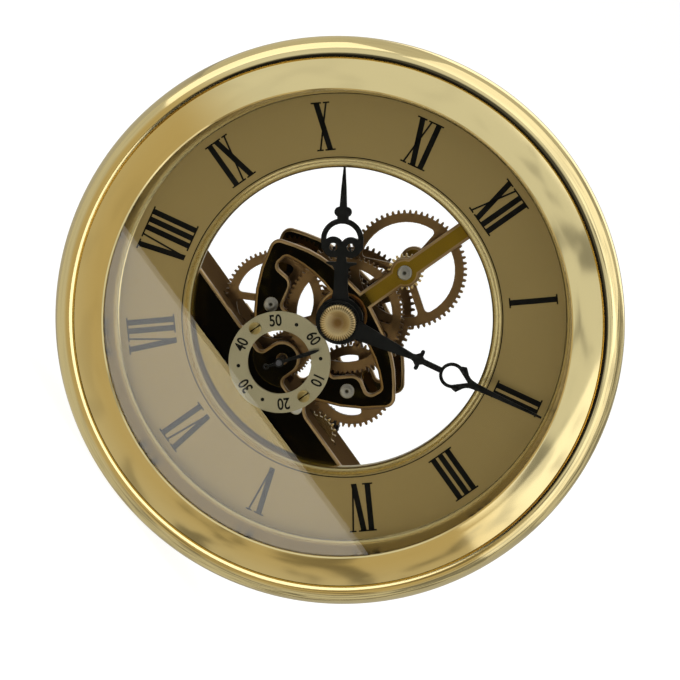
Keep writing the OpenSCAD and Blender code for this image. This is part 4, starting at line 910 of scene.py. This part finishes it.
def looked_at(tree):
    """One where the camera looks at the backdrop, straight or through the lens, and nought in reflections."""
    ray = tree.nodes.new("ShaderNodeLightPath")
    shallow = add_math(tree, "LESS_THAN", ray.outputs["Transmission Depth"], 2.5)
    through = add_math(tree, "MULTIPLY", ray.outputs["Is Transmission Ray"], shallow)
    return add_math(tree, "MAXIMUM", ray.outputs["Is Camera Ray"], through)


floor_glow, extra_when_looked_at = 0.28, 0.62


def build_floor_white():
    material, tree, shader = surface("floor_white", (0.42, 0.42, 0.415), roughness=0.9, specular=0.1)
    glow = add_math(tree, "MULTIPLY_ADD", looked_at(tree), extra_when_looked_at, floor_glow)
    shader.inputs["Emission Color"].default_value = (1, 1, 1, 1)
    tree.links.new(glow, shader.inputs["Emission Strength"])
    return material


def build_card(name, brightness, for_the_lens_alone):
    """A glowing card that shows in reflections and lets every other ray pass."""
    material, tree, shader = surface(name, (0, 0, 0), roughness=1.0, specular=0.0)
    ray = tree.nodes.new("ShaderNodeLightPath")
    shader.inputs["Emission Color"].default_value = (1, 0.985, 0.93, 1)
    shader.inputs["Emission Strength"].default_value = brightness
    if for_the_lens_alone:
        in_front = add_math(tree, "LESS_THAN", ray.outputs["Transmission Depth"], 0.5)
        tree.links.new(add_math(tree, "MULTIPLY", in_front, brightness), shader.inputs["Emission Strength"])
    mirrored = tree.nodes.new("ShaderNodeMixShader")
    tree.links.new(add_math(tree, "GREATER_THAN", ray.outputs["Glossy Depth"], 0.5), mirrored.inputs[0])
    tree.links.new(tree.nodes.new("ShaderNodeBsdfTransparent").outputs[0], mirrored.inputs[1])
    tree.links.new(shader.outputs[0], mirrored.inputs[2])
    tree.links.new(mirrored.outputs[0], tree.nodes["Material Output"].inputs["Surface"])
    return material


floor_z = -clock_r - 0.2 * MM
floor_white = build_floor_white()
staged_plane("rear_floor", (8, 4), (0, 2, floor_z), (0, 0, 0), floor_white)
front_floor = staged_plane("front_floor", (8, 1.5), (0, -0.75, floor_z), (0, 0, 0), floor_white)
front_floor.visible_glossy = False
front_floor.visible_transmission = False

card_y = -6.0
card_x = 0.257
card_tilt = math.radians(-1.15)
edge_z = -1.042
dark_h, strip_h, bright_h, card_w = 0.95, 0.0065, 1.2, 2.2
bright_glow, dark_glow = 1.95, 0.012
upwards = Vector((math.sin(card_tilt), 0, math.cos(card_tilt)))
edge_at = Vector((card_x, card_y, edge_z))
for name, shift, height, brightness, for_the_lens_alone in (
        ("bright_card", -bright_h / 2 - strip_h, bright_h, bright_glow, False),
        ("edge_strip", -strip_h / 2, strip_h, bright_glow, True),
        ("dark_card", dark_h / 2, dark_h, dark_glow, False)):
    card = staged_plane(name, (card_w, height), edge_at + upwards * shift, (math.radians(90), card_tilt, 0),
                        build_card(name + "_glow", brightness, for_the_lens_alone))
    card.visible_diffuse = False
    card.visible_shadow = False
    card.visible_camera = False
print("the line in the glass comes from", -card_y, "m in front of the clock")

# %% [markdown]
# ## Lamps and tent
#
# Four large soft lamps stand above, at both sides and behind, so no shadow has a hard edge. The world is the cloth of
# the tent. Straight at the camera it is plain white. In the gold it is pale above and golden below, as cloth near
# warm boards is, darker round the camera, and crossed by soft streaks that stand for its folds.

# %% Lamps and world
def soft_lamp(name, place, size, power):
    data = bpy.data.lights.new(name, "AREA")
    data.shape = "RECTANGLE"
    data.size, data.size_y = size
    data.energy = power
    lamp = bpy.data.objects.new(name, data)
    bpy.context.scene.collection.objects.link(lamp)
    lamp.location = place
    lamp.rotation_euler = (-Vector(place)).to_track_quat("-Z", "Y").to_euler()


soft_lamp("tent_top", (0.05, -0.55, 1.05), (1.8, 1.3), 5)
soft_lamp("tent_left", (-1.05, -0.55, 0.25), (0.8, 1.0), 2.2)
soft_lamp("tent_right", (1.0, -0.75, 0.35), (0.9, 1.3), 2.4)
soft_lamp("tent_behind", (0.0, 0.9, 0.8), (1.4, 0.7), 3)


golden_wall = (0.58, 0.48, 0.27)
pale_wall = (0.82, 0.84, 0.81)
side_wall = (0.66, 0.65, 0.58)
streak_size, streak_depth = 4.5, 0.62
level_on_matt, level_on_gloss = 0.35, 1.0


def build_tent():
    """White to the eye. In reflections the upper walls are pale, the lower ones golden, and streaks cross them."""
    world = bpy.data.worlds.new("tent")
    world.use_nodes = True
    tree = world.node_tree
    sky = tree.nodes["Background"]
    towards = tree.nodes.new("ShaderNodeTexCoord").outputs["Generated"]
    split = tree.nodes.new("ShaderNodeSeparateXYZ")
    tree.links.new(towards, split.inputs[0])
    axes = split.outputs

    def soft(value, low, high, to_low=0.0):
        return ramp(tree, value, low, high, to_low, kind="SMOOTHSTEP")

    walls = mixed(tree, soft(axes["Z"], -0.19, 0.02), golden_wall, pale_wall)
    walls = mixed(tree, soft(axes["Y"], -0.84, -0.5), walls, side_wall)
    streaks = tree.nodes.new("ShaderNodeTexNoise")
    streaks.inputs["Scale"].default_value = streak_size
    streaks.inputs["Detail"].default_value = 3
    streaks.inputs["Distortion"].default_value = 1.2
    tree.links.new(towards, streaks.inputs["Vector"])
    dark = add_math(tree, "MULTIPLY", soft(streaks.outputs[0], 0.47, 0.60), soft(axes["X"], -0.25, 0.3, 0.15))
    shade = add_math(tree, "MULTIPLY_ADD", dark, -streak_depth, 1.0)
    behind_the_camera = soft(axes["Y"], -0.985, -0.95, 0.1)
    seen = looked_at(tree)
    tree.links.new(mixed(tree, seen, walls, (1, 1, 1)), sky.inputs["Color"])
    ray = tree.nodes.new("ShaderNodeLightPath")
    sharp = add_math(tree, "MAXIMUM", ray.outputs["Is Glossy Ray"], ray.outputs["Is Transmission Ray"])
    level = add_math(tree, "MULTIPLY_ADD", sharp, level_on_gloss - level_on_matt, level_on_matt)
    level = add_math(tree, "MULTIPLY", level, behind_the_camera)
    level = add_math(tree, "MULTIPLY", level, shade)
    tree.links.new(add_math(tree, "MAXIMUM", level, seen), sky.inputs["Strength"])
    return world


bpy.context.scene.world = build_tent()
